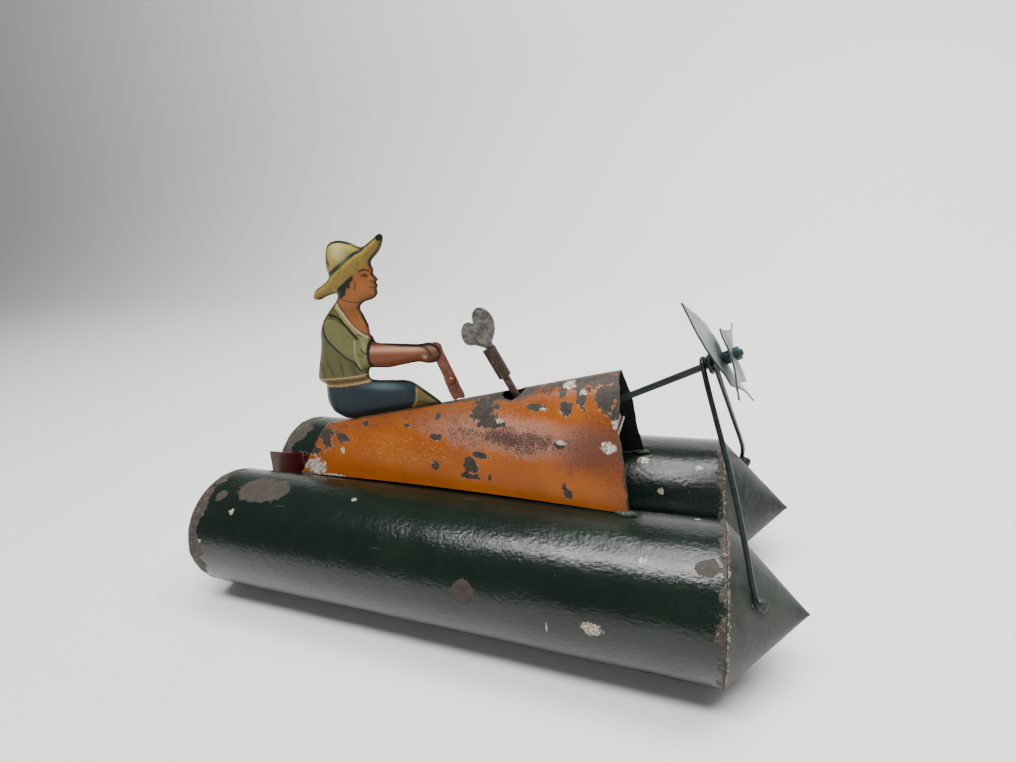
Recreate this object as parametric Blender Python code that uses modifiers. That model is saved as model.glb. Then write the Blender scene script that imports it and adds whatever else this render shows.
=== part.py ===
# Clockwork toy boat: two tin floats, an open cowl over a spring motor that
# drives an air propeller on a slanting shaft, and a flat tin driver on the ridge.
# Metres, +Z up. +X is the bow, +Y the port side. The origin is on the ground,
# under the middle of the boat. Points are given from the stern by place().

import math

import bmesh
import bpy
import numpy as np
from mathutils import Matrix, Vector

MM = 0.001

# Hull
TUBE_LENGTH = 210 * MM
NOSE_LENGTH = 24 * MM
FLOAT_RADIUS = 25 * MM
FLOAT_SPACING = 54 * MM
FLOAT_SIDES = 48
ROLLED_EDGE = 2 * MM
OVERALL_LENGTH = TUBE_LENGTH + NOSE_LENGTH
TIN = 0.4 * MM
GAP = 0.3 * MM

# Cowl: a half cone, narrow at the stern
COWL_REAR_WIDTH = 10.5 * MM
COWL_FRONT_WIDTH = 20.8 * MM
COWL_REAR_X = 32 * MM
COWL_FRONT_X = 180.6 * MM
COWL_FRONT_LEAN = 5.1 * MM
COWL_REAR_LEAN = 13 * MM
COWL_SECTION_POWER = 2.2
RIDGE_POINT = (57.5 * MM, 67.7 * MM)
RIDGE_SLOPE = 0.206
KEY_HOLE_RADIUS = 4.5 * MM

# Motor: its own frame has X along the propeller shaft and Z along the key
MOTOR_TILT = math.radians(25)
MOTOR_X = 144.2 * MM
MOTOR_Z = 67.25 * MM
MODULE = 0.55 * MM
GREAT_TEETH = 36
SECOND_PINION_TEETH = 9
SECOND_TEETH = 28
CROWN_PINION_TEETH = 9
CROWN_TEETH = 22
SHAFT_PINION_TEETH = 8
RATCHET_TEETH = 12
PLATE = 0.8 * MM
UPPER_PLATE = 3.6 * MM
LOWER_PLATE = -9.6 * MM
SECOND_X = 11.71 * MM
SECOND_Y = 4 * MM
CROWN_X = 21.07 * MM
ARBOR_RADIUS = 0.8 * MM
KEY_ARBOR_RADIUS = 1.3 * MM
RUNNING = 0.08 * MM

# Propeller
SHAFT_RADIUS = 1.15 * MM
SHAFT_END = 76.6 * MM
BLADE_RADIUS = 35 * MM
BLADE_HALF_CHORD = 9.5 * MM
REAR_STRIP_X = 70 * MM
FRONT_STRIP_X = 73.4 * MM
REAR_STRIP_ANGLE = math.radians(40)
FRONT_STRIP_ANGLE = math.radians(-91)

# Stand wire
WIRE_RADIUS = 0.9 * MM
EYE_RADIUS = 2.45 * MM
EYE_X = 64.2 * MM
EYE_PITCH = 2.2 * MM

# Driver
DRIVER_HALF = 2 * MM
DRIVER_SEAM = 0.15 * MM


def place(x, y, z):
    """A point x from the stern, y to port and z above the ground."""
    return Vector((x - OVERALL_LENGTH / 2, y, z))


def clear_scene():
    for obj in list(bpy.data.objects):
        bpy.data.objects.remove(obj, do_unlink=True)


def new_collection(name, hidden=False):
    collection = bpy.data.collections.new(name)
    bpy.context.scene.collection.children.link(collection)
    collection.hide_render = hidden
    return collection


clear_scene()
boat = new_collection("toy_boat")
cutters = new_collection("cutters", hidden=True)


def material(name, colour, roughness, metallic):
    made = bpy.data.materials.new(name)
    made.use_nodes = True
    shader = made.node_tree.nodes["Principled BSDF"]
    shader.inputs["Base Color"].default_value = (*colour, 1)
    shader.inputs["Roughness"].default_value = roughness
    shader.inputs["Metallic"].default_value = metallic
    made.diffuse_color = (*colour, 1)
    return made


FINISHES = {
    "green_enamel": ((0.012, 0.045, 0.03), 0.3, 0.0),
    "green_matt": ((0.06, 0.075, 0.065), 0.6, 0.2),
    "orange_enamel": ((0.62, 0.2, 0.03), 0.35, 0.0),
    "maroon_enamel": ((0.13, 0.008, 0.008), 0.4, 0.0),
    "lever_enamel": ((0.42, 0.13, 0.04), 0.4, 0.0),
    "printed_tin": ((0.3, 0.3, 0.14), 0.35, 0.0),
    "key_steel": ((0.3, 0.29, 0.27), 0.45, 1.0),
    "motor_steel": ((0.25, 0.24, 0.22), 0.5, 1.0),
    "motor_brass": ((0.55, 0.42, 0.18), 0.4, 1.0),
    "dark_rod": ((0.03, 0.05, 0.045), 0.35, 0.5),
    "propeller_tin": ((0.42, 0.47, 0.43), 0.45, 0.4),
}


def finish(obj, look):
    """Give an object its own material and shade its round faces smooth."""
    obj.data.materials.append(material(obj.name + "_finish", *FINISHES[look]))
    if obj.type == "MESH" and obj.data.polygons:
        obj.data.shade_smooth()
        obj.data.set_sharp_from_angle(angle=math.radians(30))
    return obj


def add(name, data, parent=None, location=(0, 0, 0), rotation=(0, 0, 0)):
    obj = bpy.data.objects.new(name, data)
    boat.objects.link(obj)
    obj.parent = parent
    obj.location = location
    obj.rotation_euler = rotation
    return obj


def frame(name, location, rotation=(0, 0, 0), parent=None):
    """An empty that other pieces are placed from."""
    return add(name, None, parent, location, rotation)


def mesh_from(name, vertices, faces=(), edges=()):
    mesh = bpy.data.meshes.new(name)
    mesh.from_pydata([tuple(v) for v in vertices], list(edges), list(faces))
    mesh.update()
    return mesh


def turned(name, profile, look, sides=24, closed=True, turn=0.0, **where):
    """A profile of (radius, height) points, outer side from top to bottom, turned about Z."""
    points = [
        (r * math.cos(turn), r * math.sin(turn), height) for r, height in profile
    ]
    edges = [(i, i + 1) for i in range(len(points) - 1)]
    if closed:
        edges.append((len(points) - 1, 0))
    obj = add(name, mesh_from(name, points, edges=edges), **where)
    screw = obj.modifiers.new("turn", "SCREW")
    screw.axis = "Z"
    screw.angle = math.tau
    screw.steps = screw.render_steps = sides
    screw.use_merge_vertices = True
    screw.merge_threshold = 0.00001
    screw.use_smooth_shade = True
    return finish(obj, look)


def tube(name, outer, inner, bottom, top, look, sides=24, **where):
    profile = [(outer, top), (outer, bottom), (inner, bottom), (inner, top)]
    return turned(name, profile, look, sides, **where)


def rod(name, radius, bottom, top, look, sides=16, **where):
    profile = [(0, top), (radius, top), (radius, bottom), (0, bottom)]
    return turned(name, profile, look, sides, closed=False, **where)


def circle(radius, count=24, centre=(0, 0)):
    return [
        (
            centre[0] + radius * math.cos(math.tau * i / count),
            centre[1] + radius * math.sin(math.tau * i / count),
        )
        for i in range(count)
    ]


def plate(name, outlines, thickness, look, **where):
    """Flat outlines, the first with the others cut out of it, in the object's XY plane."""
    curve = bpy.data.curves.new(name, "CURVE")
    curve.dimensions = "2D"
    curve.fill_mode = "BOTH"
    curve.extrude = thickness / 2
    for outline in outlines:
        spline = curve.splines.new("POLY")
        spline.points.add(len(outline) - 1)
        for point, (x, y) in zip(spline.points, outline):
            point.co = (x, y, 0, 1)
        spline.use_cyclic_u = True
    return finish(add(name, curve, **where), look)


def wire(name, points, radius, look, **where):
    curve = bpy.data.curves.new(name, "CURVE")
    curve.dimensions = "3D"
    curve.bevel_depth = radius
    curve.bevel_resolution = 2
    curve.use_fill_caps = True
    spline = curve.splines.new("POLY")
    spline.points.add(len(points) - 1)
    for spot, point in zip(spline.points, points):
        spot.co = (*point, 1)
    return finish(add(name, curve, **where), look)


def rounded(points, steps=3):
    """A closed Catmull-Rom curve through the points; a point marked True stays a corner."""
    count = len(points)
    spots = [np.array(p[:2], float) for p in points]
    corner = [len(p) > 2 and p[2] for p in points]
    outline = []
    for i in range(count):
        a, b, c, d = (spots[(i + k) % count] for k in (-1, 0, 1, 2))
        start = (c - b) if corner[i] else (c - a) / 2
        end = (c - b) if corner[(i + 1) % count] else (d - b) / 2
        for t in np.arange(steps) / steps:
            h00 = 2 * t**3 - 3 * t**2 + 1
            h10 = t**3 - 2 * t**2 + t
            h01 = -2 * t**3 + 3 * t**2
            h11 = t**3 - t**2
            outline.append(tuple(h00 * b + h10 * start + h01 * c + h11 * end))
    return outline


def strip_outline(points, thickness):
    """The side view of a bent metal strip along a line of points."""
    line = [np.array(p, float) for p in points]
    left, right = [], []
    for i, point in enumerate(line):
        before = line[max(i - 1, 0)]
        after = line[min(i + 1, len(line) - 1)]
        if 0 < i < len(line) - 1:
            first = (point - before) / np.linalg.norm(point - before)
            second = (after - point) / np.linalg.norm(after - point)
            along = first + second
            along /= np.linalg.norm(along)
            reach = thickness / 2 / max(abs(float(along @ first)), 0.3)
        else:
            along = (after - before) / np.linalg.norm(after - before)
            reach = thickness / 2
        side = np.array((-along[1], along[0])) * reach
        left.append(tuple(point + side))
        right.append(tuple(point - side))
    return left + right[::-1]


def as_mesh(obj):
    """Replace a curve object by the mesh that it makes, with its caps welded."""
    bpy.context.view_layer.update()
    graph = bpy.context.evaluated_depsgraph_get()
    mesh = bpy.data.meshes.new_from_object(obj.evaluated_get(graph))
    shape = bmesh.new()
    shape.from_mesh(mesh)
    bmesh.ops.remove_doubles(shape, verts=shape.verts, dist=0.000001)
    shape.to_mesh(mesh)
    shape.free()
    name, parent, matrix = obj.name, obj.parent, obj.matrix_basis.copy()
    bpy.data.objects.remove(obj, do_unlink=True)
    made = add(name, mesh, parent)
    made.matrix_basis = matrix
    return made


def combine(obj, other, operation):
    """Join another object to this one, or cut it out, and keep it as a hidden cutter."""
    for collection in list(other.users_collection):
        collection.objects.unlink(other)
    cutters.objects.link(other)
    other.hide_render = True
    other.display_type = "WIRE"
    boolean = obj.modifiers.new(operation.lower(), "BOOLEAN")
    boolean.operation = operation
    boolean.object = other
    return obj


def float_top(y):
    """Height of the floats' upper surface at a distance y from the middle plane."""
    return FLOAT_RADIUS + math.sqrt(FLOAT_RADIUS**2 - (FLOAT_SPACING / 2 - y) ** 2)


def ridge_height(x):
    return RIDGE_POINT[1] + RIDGE_SLOPE * (x - RIDGE_POINT[0])


def make_float(side, sign):
    """One float: a tube with a rolled stern edge, a pressed stern cap and a conical nose."""
    flat = math.cos(math.pi / FLOAT_SIDES)
    half_turn = math.pi / FLOAT_SIDES
    axis = frame(
        side + "_float",
        place(0, sign * FLOAT_SPACING / 2, FLOAT_RADIUS),
        (0, math.pi / 2, 0),
    )
    bend = 3 * MM
    outer = [(FLOAT_RADIUS, TUBE_LENGTH - GAP), (FLOAT_RADIUS, bend)]
    inner = [(FLOAT_RADIUS - TIN, bend), (FLOAT_RADIUS - TIN, TUBE_LENGTH - GAP)]
    for i in range(1, 4):
        angle = i * math.pi / 6
        drop = ROLLED_EDGE * (1 - math.cos(angle))
        height = bend * (1 - math.sin(angle))
        outer.append((FLOAT_RADIUS - drop, height))
        inner.insert(0, (FLOAT_RADIUS - drop - TIN, height))
    turned(
        side + "_float_tube",
        [(r / flat, h) for r, h in outer + inner],
        "green_enamel",
        FLOAT_SIDES,
        turn=half_turn,
        parent=axis,
    )
    cap = FLOAT_RADIUS - ROLLED_EDGE - TIN - GAP
    rim = 4 * MM
    step = 1.2 * MM
    cap_profile = [
        (0, step + TIN),
        (cap - 3.8 * MM, step + TIN),
        (cap - 2.8 * MM, TIN),
        (cap - TIN, TIN),
        (cap - TIN, rim),
        (cap, rim),
        (cap, 0),
        (cap - 3 * MM, 0),
        (cap - 4 * MM, step),
        (0, step),
    ]
    turned(
        side + "_stern_cap",
        cap_profile,
        "green_enamel",
        FLOAT_SIDES,
        closed=False,
        turn=half_turn,
        parent=axis,
    )
    nose = [
        (0, TUBE_LENGTH + NOSE_LENGTH),
        (FLOAT_RADIUS / flat, TUBE_LENGTH),
        (FLOAT_RADIUS / flat - 1.4 * TIN, TUBE_LENGTH),
        (0, TUBE_LENGTH + NOSE_LENGTH - 1.4 * TIN),
    ]
    turned(
        side + "_nose_cone",
        nose,
        "green_matt",
        FLOAT_SIDES,
        closed=False,
        turn=half_turn,
        parent=axis,
    )




def box(name, low, high):
    """A box between two corners."""
    shape = bmesh.new()
    bmesh.ops.create_cube(shape, size=1)
    size = Vector(high) - Vector(low)
    middle = (Vector(high) + Vector(low)) / 2
    bmesh.ops.scale(shape, vec=size, verts=shape.verts)
    bmesh.ops.translate(shape, vec=middle, verts=shape.verts)
    mesh = bpy.data.meshes.new(name)
    shape.to_mesh(mesh)
    shape.free()
    return add(name, mesh)


def grid_mesh(name, rows):
    """A sheet through equal rows of points."""
    count = len(rows[0])
    vertices = [point for row in rows for point in row]
    faces = []
    for i in range(len(rows) - 1):
        for j in range(count - 1):
            a = i * count + j
            faces.append((a, a + 1, a + count + 1, a + count))
    return mesh_from(name, vertices, faces)


def solidify(obj, thickness, offset):
    wall = obj.modifiers.new("wall", "SOLIDIFY")
    wall.thickness = thickness
    wall.offset = offset
    return obj


def cowl_row(share, around=32):
    """The cowl's section at a share of its length: steep flanks and a rounded ridge."""
    width = COWL_REAR_WIDTH + share * (COWL_FRONT_WIDTH - COWL_REAR_WIDTH)
    arch = 0.7 * MM * math.sin(math.pi * share)
    bottom = float_top(width) + GAP + 0.1 * MM + arch
    rear_top = ridge_height(COWL_REAR_X + COWL_REAR_LEAN)
    front_top = ridge_height(COWL_FRONT_X - COWL_FRONT_LEAN)
    top = rear_top + share * (front_top - rear_top)
    section = []
    for i in range(around + 1):
        across = -math.cos(math.pi * i / around)
        rise = 1 - abs(across) ** COWL_SECTION_POWER
        section.append((width * across, bottom + (top - bottom) * rise))
    row = []
    for y, z in section:
        rise = (z - bottom) / (top - bottom)
        rear = COWL_REAR_X + COWL_REAR_LEAN * rise
        front = COWL_FRONT_X - COWL_FRONT_LEAN * rise
        row.append(place(rear + share * (front - rear), y, z))
    return row


def make_cowl(motor):
    rows = [cowl_row(i / 10) for i in range(11)]
    cowl = solidify(add("cowl", grid_mesh("cowl", rows)), TIN, 1)
    finish(cowl, "orange_enamel")
    hole = rod("key_hole", KEY_HOLE_RADIUS, 8 * MM, 28 * MM, "orange_enamel", parent=motor)
    combine(cowl, hole, "DIFFERENCE")
    bulkhead_x = 48 * MM
    width = 11.2 * MM
    bottom = float_top(width) + GAP
    top = ridge_height(bulkhead_x) - TIN - 4 * GAP
    outline = []
    for i in range(25):
        across = math.cos(math.pi * i / 24)
        rise = 1 - abs(across) ** COWL_SECTION_POWER
        outline.append((width * 0.9 * across, bottom + (top - bottom) * rise))
    plate(
        "tail_plate",
        [outline],
        TIN,
        "orange_enamel",
        location=place(bulkhead_x, 0, 0),
        rotation=(math.pi / 2, 0, math.pi / 2),
    )


def deck_strap(name, x_from, x_to, half_width, bottom):
    outline = [(x_from, -half_width), (x_to, -half_width)]
    outline += [(x_to, half_width), (x_from, half_width)]
    plate(
        name,
        [outline],
        PLATE,
        "green_matt",
        location=place(0, 0, bottom + PLATE / 2),
    )


def side_plate(name, outlines, thickness, y, look):
    """Outlines drawn in the side view, as a plate whose middle is at y."""
    return plate(
        name,
        outlines,
        thickness,
        look,
        location=place(0, y, 0),
        rotation=(math.pi / 2, 0, 0),
    )


def in_mm(points):
    return [(p[0] * MM, p[1] * MM, *p[2:]) for p in points]


def make_deck():
    deck_strap("front_deck_strap", 155 * MM, 166 * MM, 17.6 * MM, 49 * MM)
    deck_strap("rear_deck_strap", 126 * MM, 138 * MM, 15.8 * MM, 47.9 * MM)
    front = [(166.2, 66.2), (162.1, 64.25), (162.1, 50.5), (157, 50.5)]
    rear = [(144.4, 56.0), (139.5, 53.7), (139.5, 49.4), (128, 49.4)]
    for name, points in (("front", front), ("rear", rear)):
        line = strip_outline(in_mm(points), PLATE)
        side_plate(name + "_motor_bracket", [line], 8 * MM, 0, "motor_steel")


def make_rudder():
    pin_x = 25.8 * MM
    pin_radius = 0.75 * MM
    knuckle = 1.5 * MM
    bore = pin_radius + RUNNING
    strap_z = 42.3 * MM
    tongue = [
        (pin_x + 2.1 * MM * math.cos(a), 2.1 * MM * math.sin(a))
        for a in np.linspace(math.pi / 2, 1.5 * math.pi, 9)
    ]
    wide = [(29, -2.1), (29, -8.4), (39, -8.4), (39, 8.4), (29, 8.4), (29, 2.1)]
    outline = tongue + in_mm(wide)
    plate(
        "rudder_strap",
        [outline, circle(bore, 16, (pin_x, 0))],
        PLATE,
        "green_matt",
        location=place(0, 0, strap_z + PLATE / 2),
    )
    blade_points = [
        (25.8, 47.1, True),
        (6.0, 47.0),
        (3.2, 45.4),
        (3.0, 38.5),
        (6.0, 35.5),
        (12.5, 31.5),
        (14.2, 26.0),
        (15.0, 14.0),
        (17.5, 10.5),
        (25.8, 10.0, True),
    ]
    blade = as_mesh(
        side_plate("rudder_blade", [rounded(in_mm(blade_points))], 0.6 * MM, 0, "maroon_enamel")
    )
    finish(blade, "maroon_enamel")
    at_pin = {"location": place(pin_x, 0, 0)}
    roll = rod("knuckle", knuckle, 9.7 * MM, 47.5 * MM, "maroon_enamel", **at_pin)
    combine(blade, roll, "UNION")
    notch = box(
        "knuckle_notch",
        place(23.2 * MM, -4 * MM, strap_z - 2 * GAP),
        place(29 * MM, 4 * MM, strap_z + PLATE + 2 * GAP),
    )
    combine(blade, notch, "DIFFERENCE")
    drill = rod("knuckle_bore", bore, 5 * MM, 52 * MM, "maroon_enamel", **at_pin)
    combine(blade, drill, "DIFFERENCE")
    rod("rudder_pin", pin_radius, 9 * MM, 48.6 * MM, "dark_rod", **at_pin)


def gear_outline(teeth, phase, thick=0.4):
    """A spur gear's outline with a tooth centred on the phase angle."""
    pitch = MODULE * teeth / 2
    tip = pitch + 0.9 * MODULE
    root = pitch - 1.15 * MODULE
    step = math.tau / teeth
    points = []
    for i in range(teeth):
        middle = phase + i * step
        for radius, share in ((root, -0.62), (tip, -0.3), (tip, 0.3), (root, 0.62)):
            angle = middle + share * thick * step * pitch / radius
            points.append((radius * math.cos(angle), radius * math.sin(angle)))
    return points


def gear(name, teeth, phase, bore, low, high, look, parent):
    return plate(
        name,
        [gear_outline(teeth, phase), circle(bore)],
        high - low,
        look,
        parent=parent,
        location=(0, 0, (low + high) / 2),
    )


def arbor(name, radius, low, high, parent, location=(0, 0, 0)):
    return rod(
        name, radius, low, high, "motor_steel", parent=parent, location=location
    )


def make_motor_frame(motor):
    bearing = ARBOR_RADIUS + RUNNING
    half = [(-13, -10.5), (8, -9.4), (30.3, -6.9)]
    outline = in_mm(half + [(x, -y) for x, y in half[::-1]])
    holes = [
        circle(KEY_ARBOR_RADIUS + RUNNING),
        circle(bearing, 16, (SECOND_X, SECOND_Y)),
        circle(bearing, 16, (CROWN_X, 0)),
    ]
    for side, low in (("upper", UPPER_PLATE), ("lower", LOWER_PLATE)):
        plate(
            side + "_motor_plate",
            [outline] + holes,
            PLATE,
            "motor_steel",
            parent=motor,
            location=(0, 0, low + PLATE / 2),
        )
    inside = (LOWER_PLATE + PLATE + GAP, UPPER_PLATE - GAP)
    pillars = {
        "rear_starboard": (-11.2, -8.7),
        "rear_port": (-11.2, 8.7),
        "front_starboard": (28.6, -5.6),
        "front_port": (28.6, 5.6),
    }
    for name, (x, y) in pillars.items():
        rod(
            name + "_pillar",
            1.2 * MM,
            *inside,
            "motor_steel",
            sides=12,
            parent=motor,
            location=(x * MM, y * MM, 0),
        )
    upright = (0, math.pi / 2, 0)
    bearings = (
        ("front_shaft_bearing", 29.3, 8.5, 3.9, SHAFT_RADIUS - 0.25 * MM),
        ("rear_shaft_bearing", 24.0, 1.4, 3.4, 0.7 * MM),
    )
    for name, x, down, half, hole in bearings:
        sheet = in_mm([(down, -half), (down, half), (-3.3, half), (-3.3, -half)])
        plate(
            name,
            [sheet, circle(hole + RUNNING, 24)],
            PLATE,
            "motor_steel",
            parent=motor,
            location=(x * MM, 0, 0),
            rotation=upright,
        )


def make_mainspring(motor):
    """A flat spring coiled round the winding arbor, its outer end straight to a pillar."""
    turns = 5
    inner, outer = 2.3 * MM, 9.5 * MM
    half = 0.2 * MM
    angles = np.linspace(0, math.tau * turns, 24 * turns + 1)
    radii = inner + (outer - inner) * angles / angles[-1]
    side = [
        [(r * math.cos(a), r * math.sin(a)) for a, r in zip(angles, radii + shift)]
        for shift in (half, -half)
    ]
    plate(
        "mainspring",
        [side[0] + side[1][::-1]],
        5.2 * MM,
        "motor_steel",
        parent=motor,
        location=(0, 0, 0.7 * MM),
    )


def make_great_wheel(motor):
    to_second = math.atan2(SECOND_Y, SECOND_X)
    wheel = frame("great_wheel_axis", (0, 0, 0), parent=motor)
    level = -4.5 * MM
    gear(
        "great_wheel",
        GREAT_TEETH,
        to_second,
        KEY_ARBOR_RADIUS + RUNNING,
        level - 0.5 * MM,
        level + 0.5 * MM,
        "motor_brass",
        wheel,
    )
    pivot = Vector((-3.2 * MM, -7.4 * MM, 0))
    rod(
        "click_pin",
        0.6 * MM,
        level + 0.8 * MM,
        -2.3 * MM,
        "motor_steel",
        sides=12,
        parent=wheel,
        location=pivot,
    )
    nose = in_mm([(0, -1.4), (-1.4, 0), (0, 1.4), (3.2, 1.5), (6.6, 2.1), (5.6, 0.2), (2.4, -1.1)])
    click_axis = frame("click_axis", pivot, parent=wheel)
    plate(
        "click",
        [nose, circle(0.6 * MM + RUNNING, 12)],
        0.8 * MM,
        "motor_steel",
        parent=click_axis,
        location=(0, 0, -3.2 * MM),
    )


def ratchet_outline(low, high):
    """Saw teeth: each rises slowly and drops at once."""
    step = math.tau / RATCHET_TEETH
    points = []
    for i in range(RATCHET_TEETH):
        for share, radius in ((0.0, low), (0.45, (low + high) / 2), (0.9, high)):
            angle = (i + share) * step
            points.append((radius * math.cos(angle), radius * math.sin(angle)))
    return points


def make_key(motor):
    key = frame("key_axis", (0, 0, 0), parent=motor)
    arbor("winding_arbor", KEY_ARBOR_RADIUS, -10.6 * MM, 35 * MM, key)
    clamp = KEY_ARBOR_RADIUS + GAP
    plate(
        "ratchet_wheel",
        [ratchet_outline(4.2 * MM, 5.2 * MM), circle(clamp)],
        0.8 * MM,
        "motor_brass",
        parent=key,
        location=(0, 0, -3.2 * MM),
    )
    sleeve_top = 36.8 * MM
    tube("key_sleeve", 2.5 * MM, clamp, 24.6 * MM, sleeve_top, "key_steel", parent=key)
    bow = [
        (-0.6, 37.1, True),
        (-2.4, 38.5),
        (-3.9, 39.9),
        (-6.7, 41.2),
        (-7.4, 43.8),
        (-6.2, 47.2),
        (-3.6, 48.8),
        (-1.4, 48.4),
        (-0.3, 47.8, True),
        (0.5, 49.6),
        (2.2, 51.2),
        (4.8, 51.6),
        (7.4, 49.2),
        (7.7, 45.4),
        (6.2, 41.8),
        (3.6, 39.2),
        (2.3, 37.1, True),
    ]
    outline = rounded(in_mm(bow))
    plate(
        "key_bow",
        [outline],
        1.0 * MM,
        "key_steel",
        parent=key,
        rotation=(math.pi / 2, 0, 0),
    )


def make_train(motor):
    """Second wheel and crown wheel, each on its arbor with its pinion."""
    low, high = LOWER_PLATE - 0.5 * MM, UPPER_PLATE + PLATE + 0.5 * MM
    fixed = ARBOR_RADIUS + GAP
    to_great = math.atan2(-SECOND_Y, -SECOND_X)
    to_crown = math.atan2(-SECOND_Y, CROWN_X - SECOND_X)
    second = frame("second_axis", (SECOND_X, SECOND_Y, 0), parent=motor)
    gap_first = math.pi / SECOND_PINION_TEETH
    arbor("second_arbor", ARBOR_RADIUS, low, high, second)
    gear(
        "second_pinion",
        SECOND_PINION_TEETH,
        to_great + gap_first,
        fixed,
        -5.4 * MM,
        -3.6 * MM,
        "motor_brass",
        second,
    )
    gear(
        "second_wheel",
        SECOND_TEETH,
        to_crown,
        fixed,
        -8 * MM,
        -7.2 * MM,
        "motor_brass",
        second,
    )
    crown = frame("crown_axis", (CROWN_X, 0, 0), parent=motor)
    gap_first = math.pi / CROWN_PINION_TEETH
    arbor("crown_arbor", ARBOR_RADIUS, low, high, crown)
    gear(
        "crown_pinion",
        CROWN_PINION_TEETH,
        to_crown + math.pi + gap_first,
        fixed,
        -8.4 * MM,
        -6.8 * MM,
        "motor_brass",
        crown,
    )
    make_crown_wheel(crown, fixed)


def make_crown_wheel(crown, bore):
    """A disc with upright teeth round its rim, meeting the shaft's pinion from below."""
    mean = MODULE * CROWN_TEETH / 2
    outer, inner = mean + 0.55 * MM, mean - 0.55 * MM
    step = math.tau / CROWN_TEETH
    foot, top, tip = -4.3 * MM, -3.4 * MM, -1.75 * MM
    shape = bmesh.new()
    for i in range(CROWN_TEETH):
        angle = (i + 0.5) * step
        along = Vector((math.cos(angle), math.sin(angle), 0))
        across = Vector((-along.y, along.x, 0))
        spots = []
        for height, half in ((top - 0.2 * MM, 0.38 * MM), (tip, 0.17 * MM)):
            for radius in (inner, outer):
                for side in (-half, half):
                    spot = along * radius + across * side
                    spot.z = height
                    spots.append(shape.verts.new(spot))
        bmesh.ops.convex_hull(shape, input=spots)
    teeth_mesh = bpy.data.meshes.new("crown_teeth")
    shape.to_mesh(teeth_mesh)
    shape.free()
    teeth = add("crown_teeth", teeth_mesh, crown)
    disc = as_mesh(
        plate(
            "crown_wheel",
            [circle(outer, 44), circle(bore)],
            top - foot,
            "motor_brass",
            parent=crown,
            location=(0, 0, (top + foot) / 2),
        )
    )
    finish(disc, "motor_brass")
    combine(disc, teeth, "UNION")


def strip_mesh(name, far_twist, near_twist, power):
    """A leaf-shaped strip along local Z with a flat hub and twisted arms, across the X axis."""
    rows = []
    for reach in np.linspace(-1, 1, 25):
        share = abs(reach)
        half = max(BLADE_HALF_CHORD * (1 - share) ** power, 0.35 * MM)
        ease = min(max((share - 0.12) / 0.5, 0), 1)
        twist = (far_twist if reach > 0 else near_twist) * ease
        rows.append(
            [
                (
                    half * c * math.sin(twist),
                    half * c * math.cos(twist),
                    BLADE_RADIUS * reach,
                )
                for c in np.linspace(-1, 1, 7)
            ]
        )
    return grid_mesh(name, rows)


def make_propeller(motor):
    upright = (0, math.pi / 2, 0)
    shaft = frame("propeller_axis", (0, 0, 0), upright, motor)
    journal, collar = 0.7 * MM, SHAFT_RADIUS - 0.25 * MM
    profile = [
        (0, SHAFT_END),
        (SHAFT_RADIUS, SHAFT_END),
        (SHAFT_RADIUS, 30.4 * MM),
        (collar, 30.2 * MM),
        (collar, 25 * MM),
        (journal, 24.8 * MM),
        (journal, 23.2 * MM),
        (0, 23.2 * MM),
    ]
    turned("propeller_shaft", profile, "dark_rod", 16, closed=False, parent=shaft)
    fixed = SHAFT_RADIUS + GAP
    plate(
        "shaft_pinion",
        [gear_outline(SHAFT_PINION_TEETH, 0), circle(collar + GAP, 16)],
        3 * MM,
        "motor_brass",
        parent=shaft,
        location=(0, 0, CROWN_X + MODULE * CROWN_TEETH / 2),
    )
    strips = (
        ("rear_blade_strip", REAR_STRIP_X, REAR_STRIP_ANGLE, 14, -14, 1.15),
        ("front_blade_strip", FRONT_STRIP_X, FRONT_STRIP_ANGLE, -27, -27, 1.8),
    )
    for name, x, angle, far, near, power in strips:
        turn = Matrix.Rotation(angle, 4, "X")
        sheet = strip_mesh(name, math.radians(far), math.radians(near), power)
        strip = add(name, sheet, motor, (x, 0, 0))
        strip.rotation_euler = turn.to_euler()
        solidify(strip, 0.5 * MM, 0)
        finish(strip, "propeller_tin")
        drill = rod(name + "_bore", fixed, x - 6 * MM, x + 6 * MM, "propeller_tin", parent=shaft)
        combine(strip, drill, "DIFFERENCE")
    tube(
        "blade_spacer",
        2.4 * MM,
        fixed,
        REAR_STRIP_X + 0.6 * MM,
        FRONT_STRIP_X - 0.6 * MM,
        "propeller_tin",
        parent=shaft,
    )
    tube(
        "hub_nut",
        2.2 * MM,
        fixed,
        FRONT_STRIP_X + 0.6 * MM,
        FRONT_STRIP_X + 2.4 * MM,
        "propeller_tin",
        sides=6,
        parent=shaft,
    )


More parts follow.
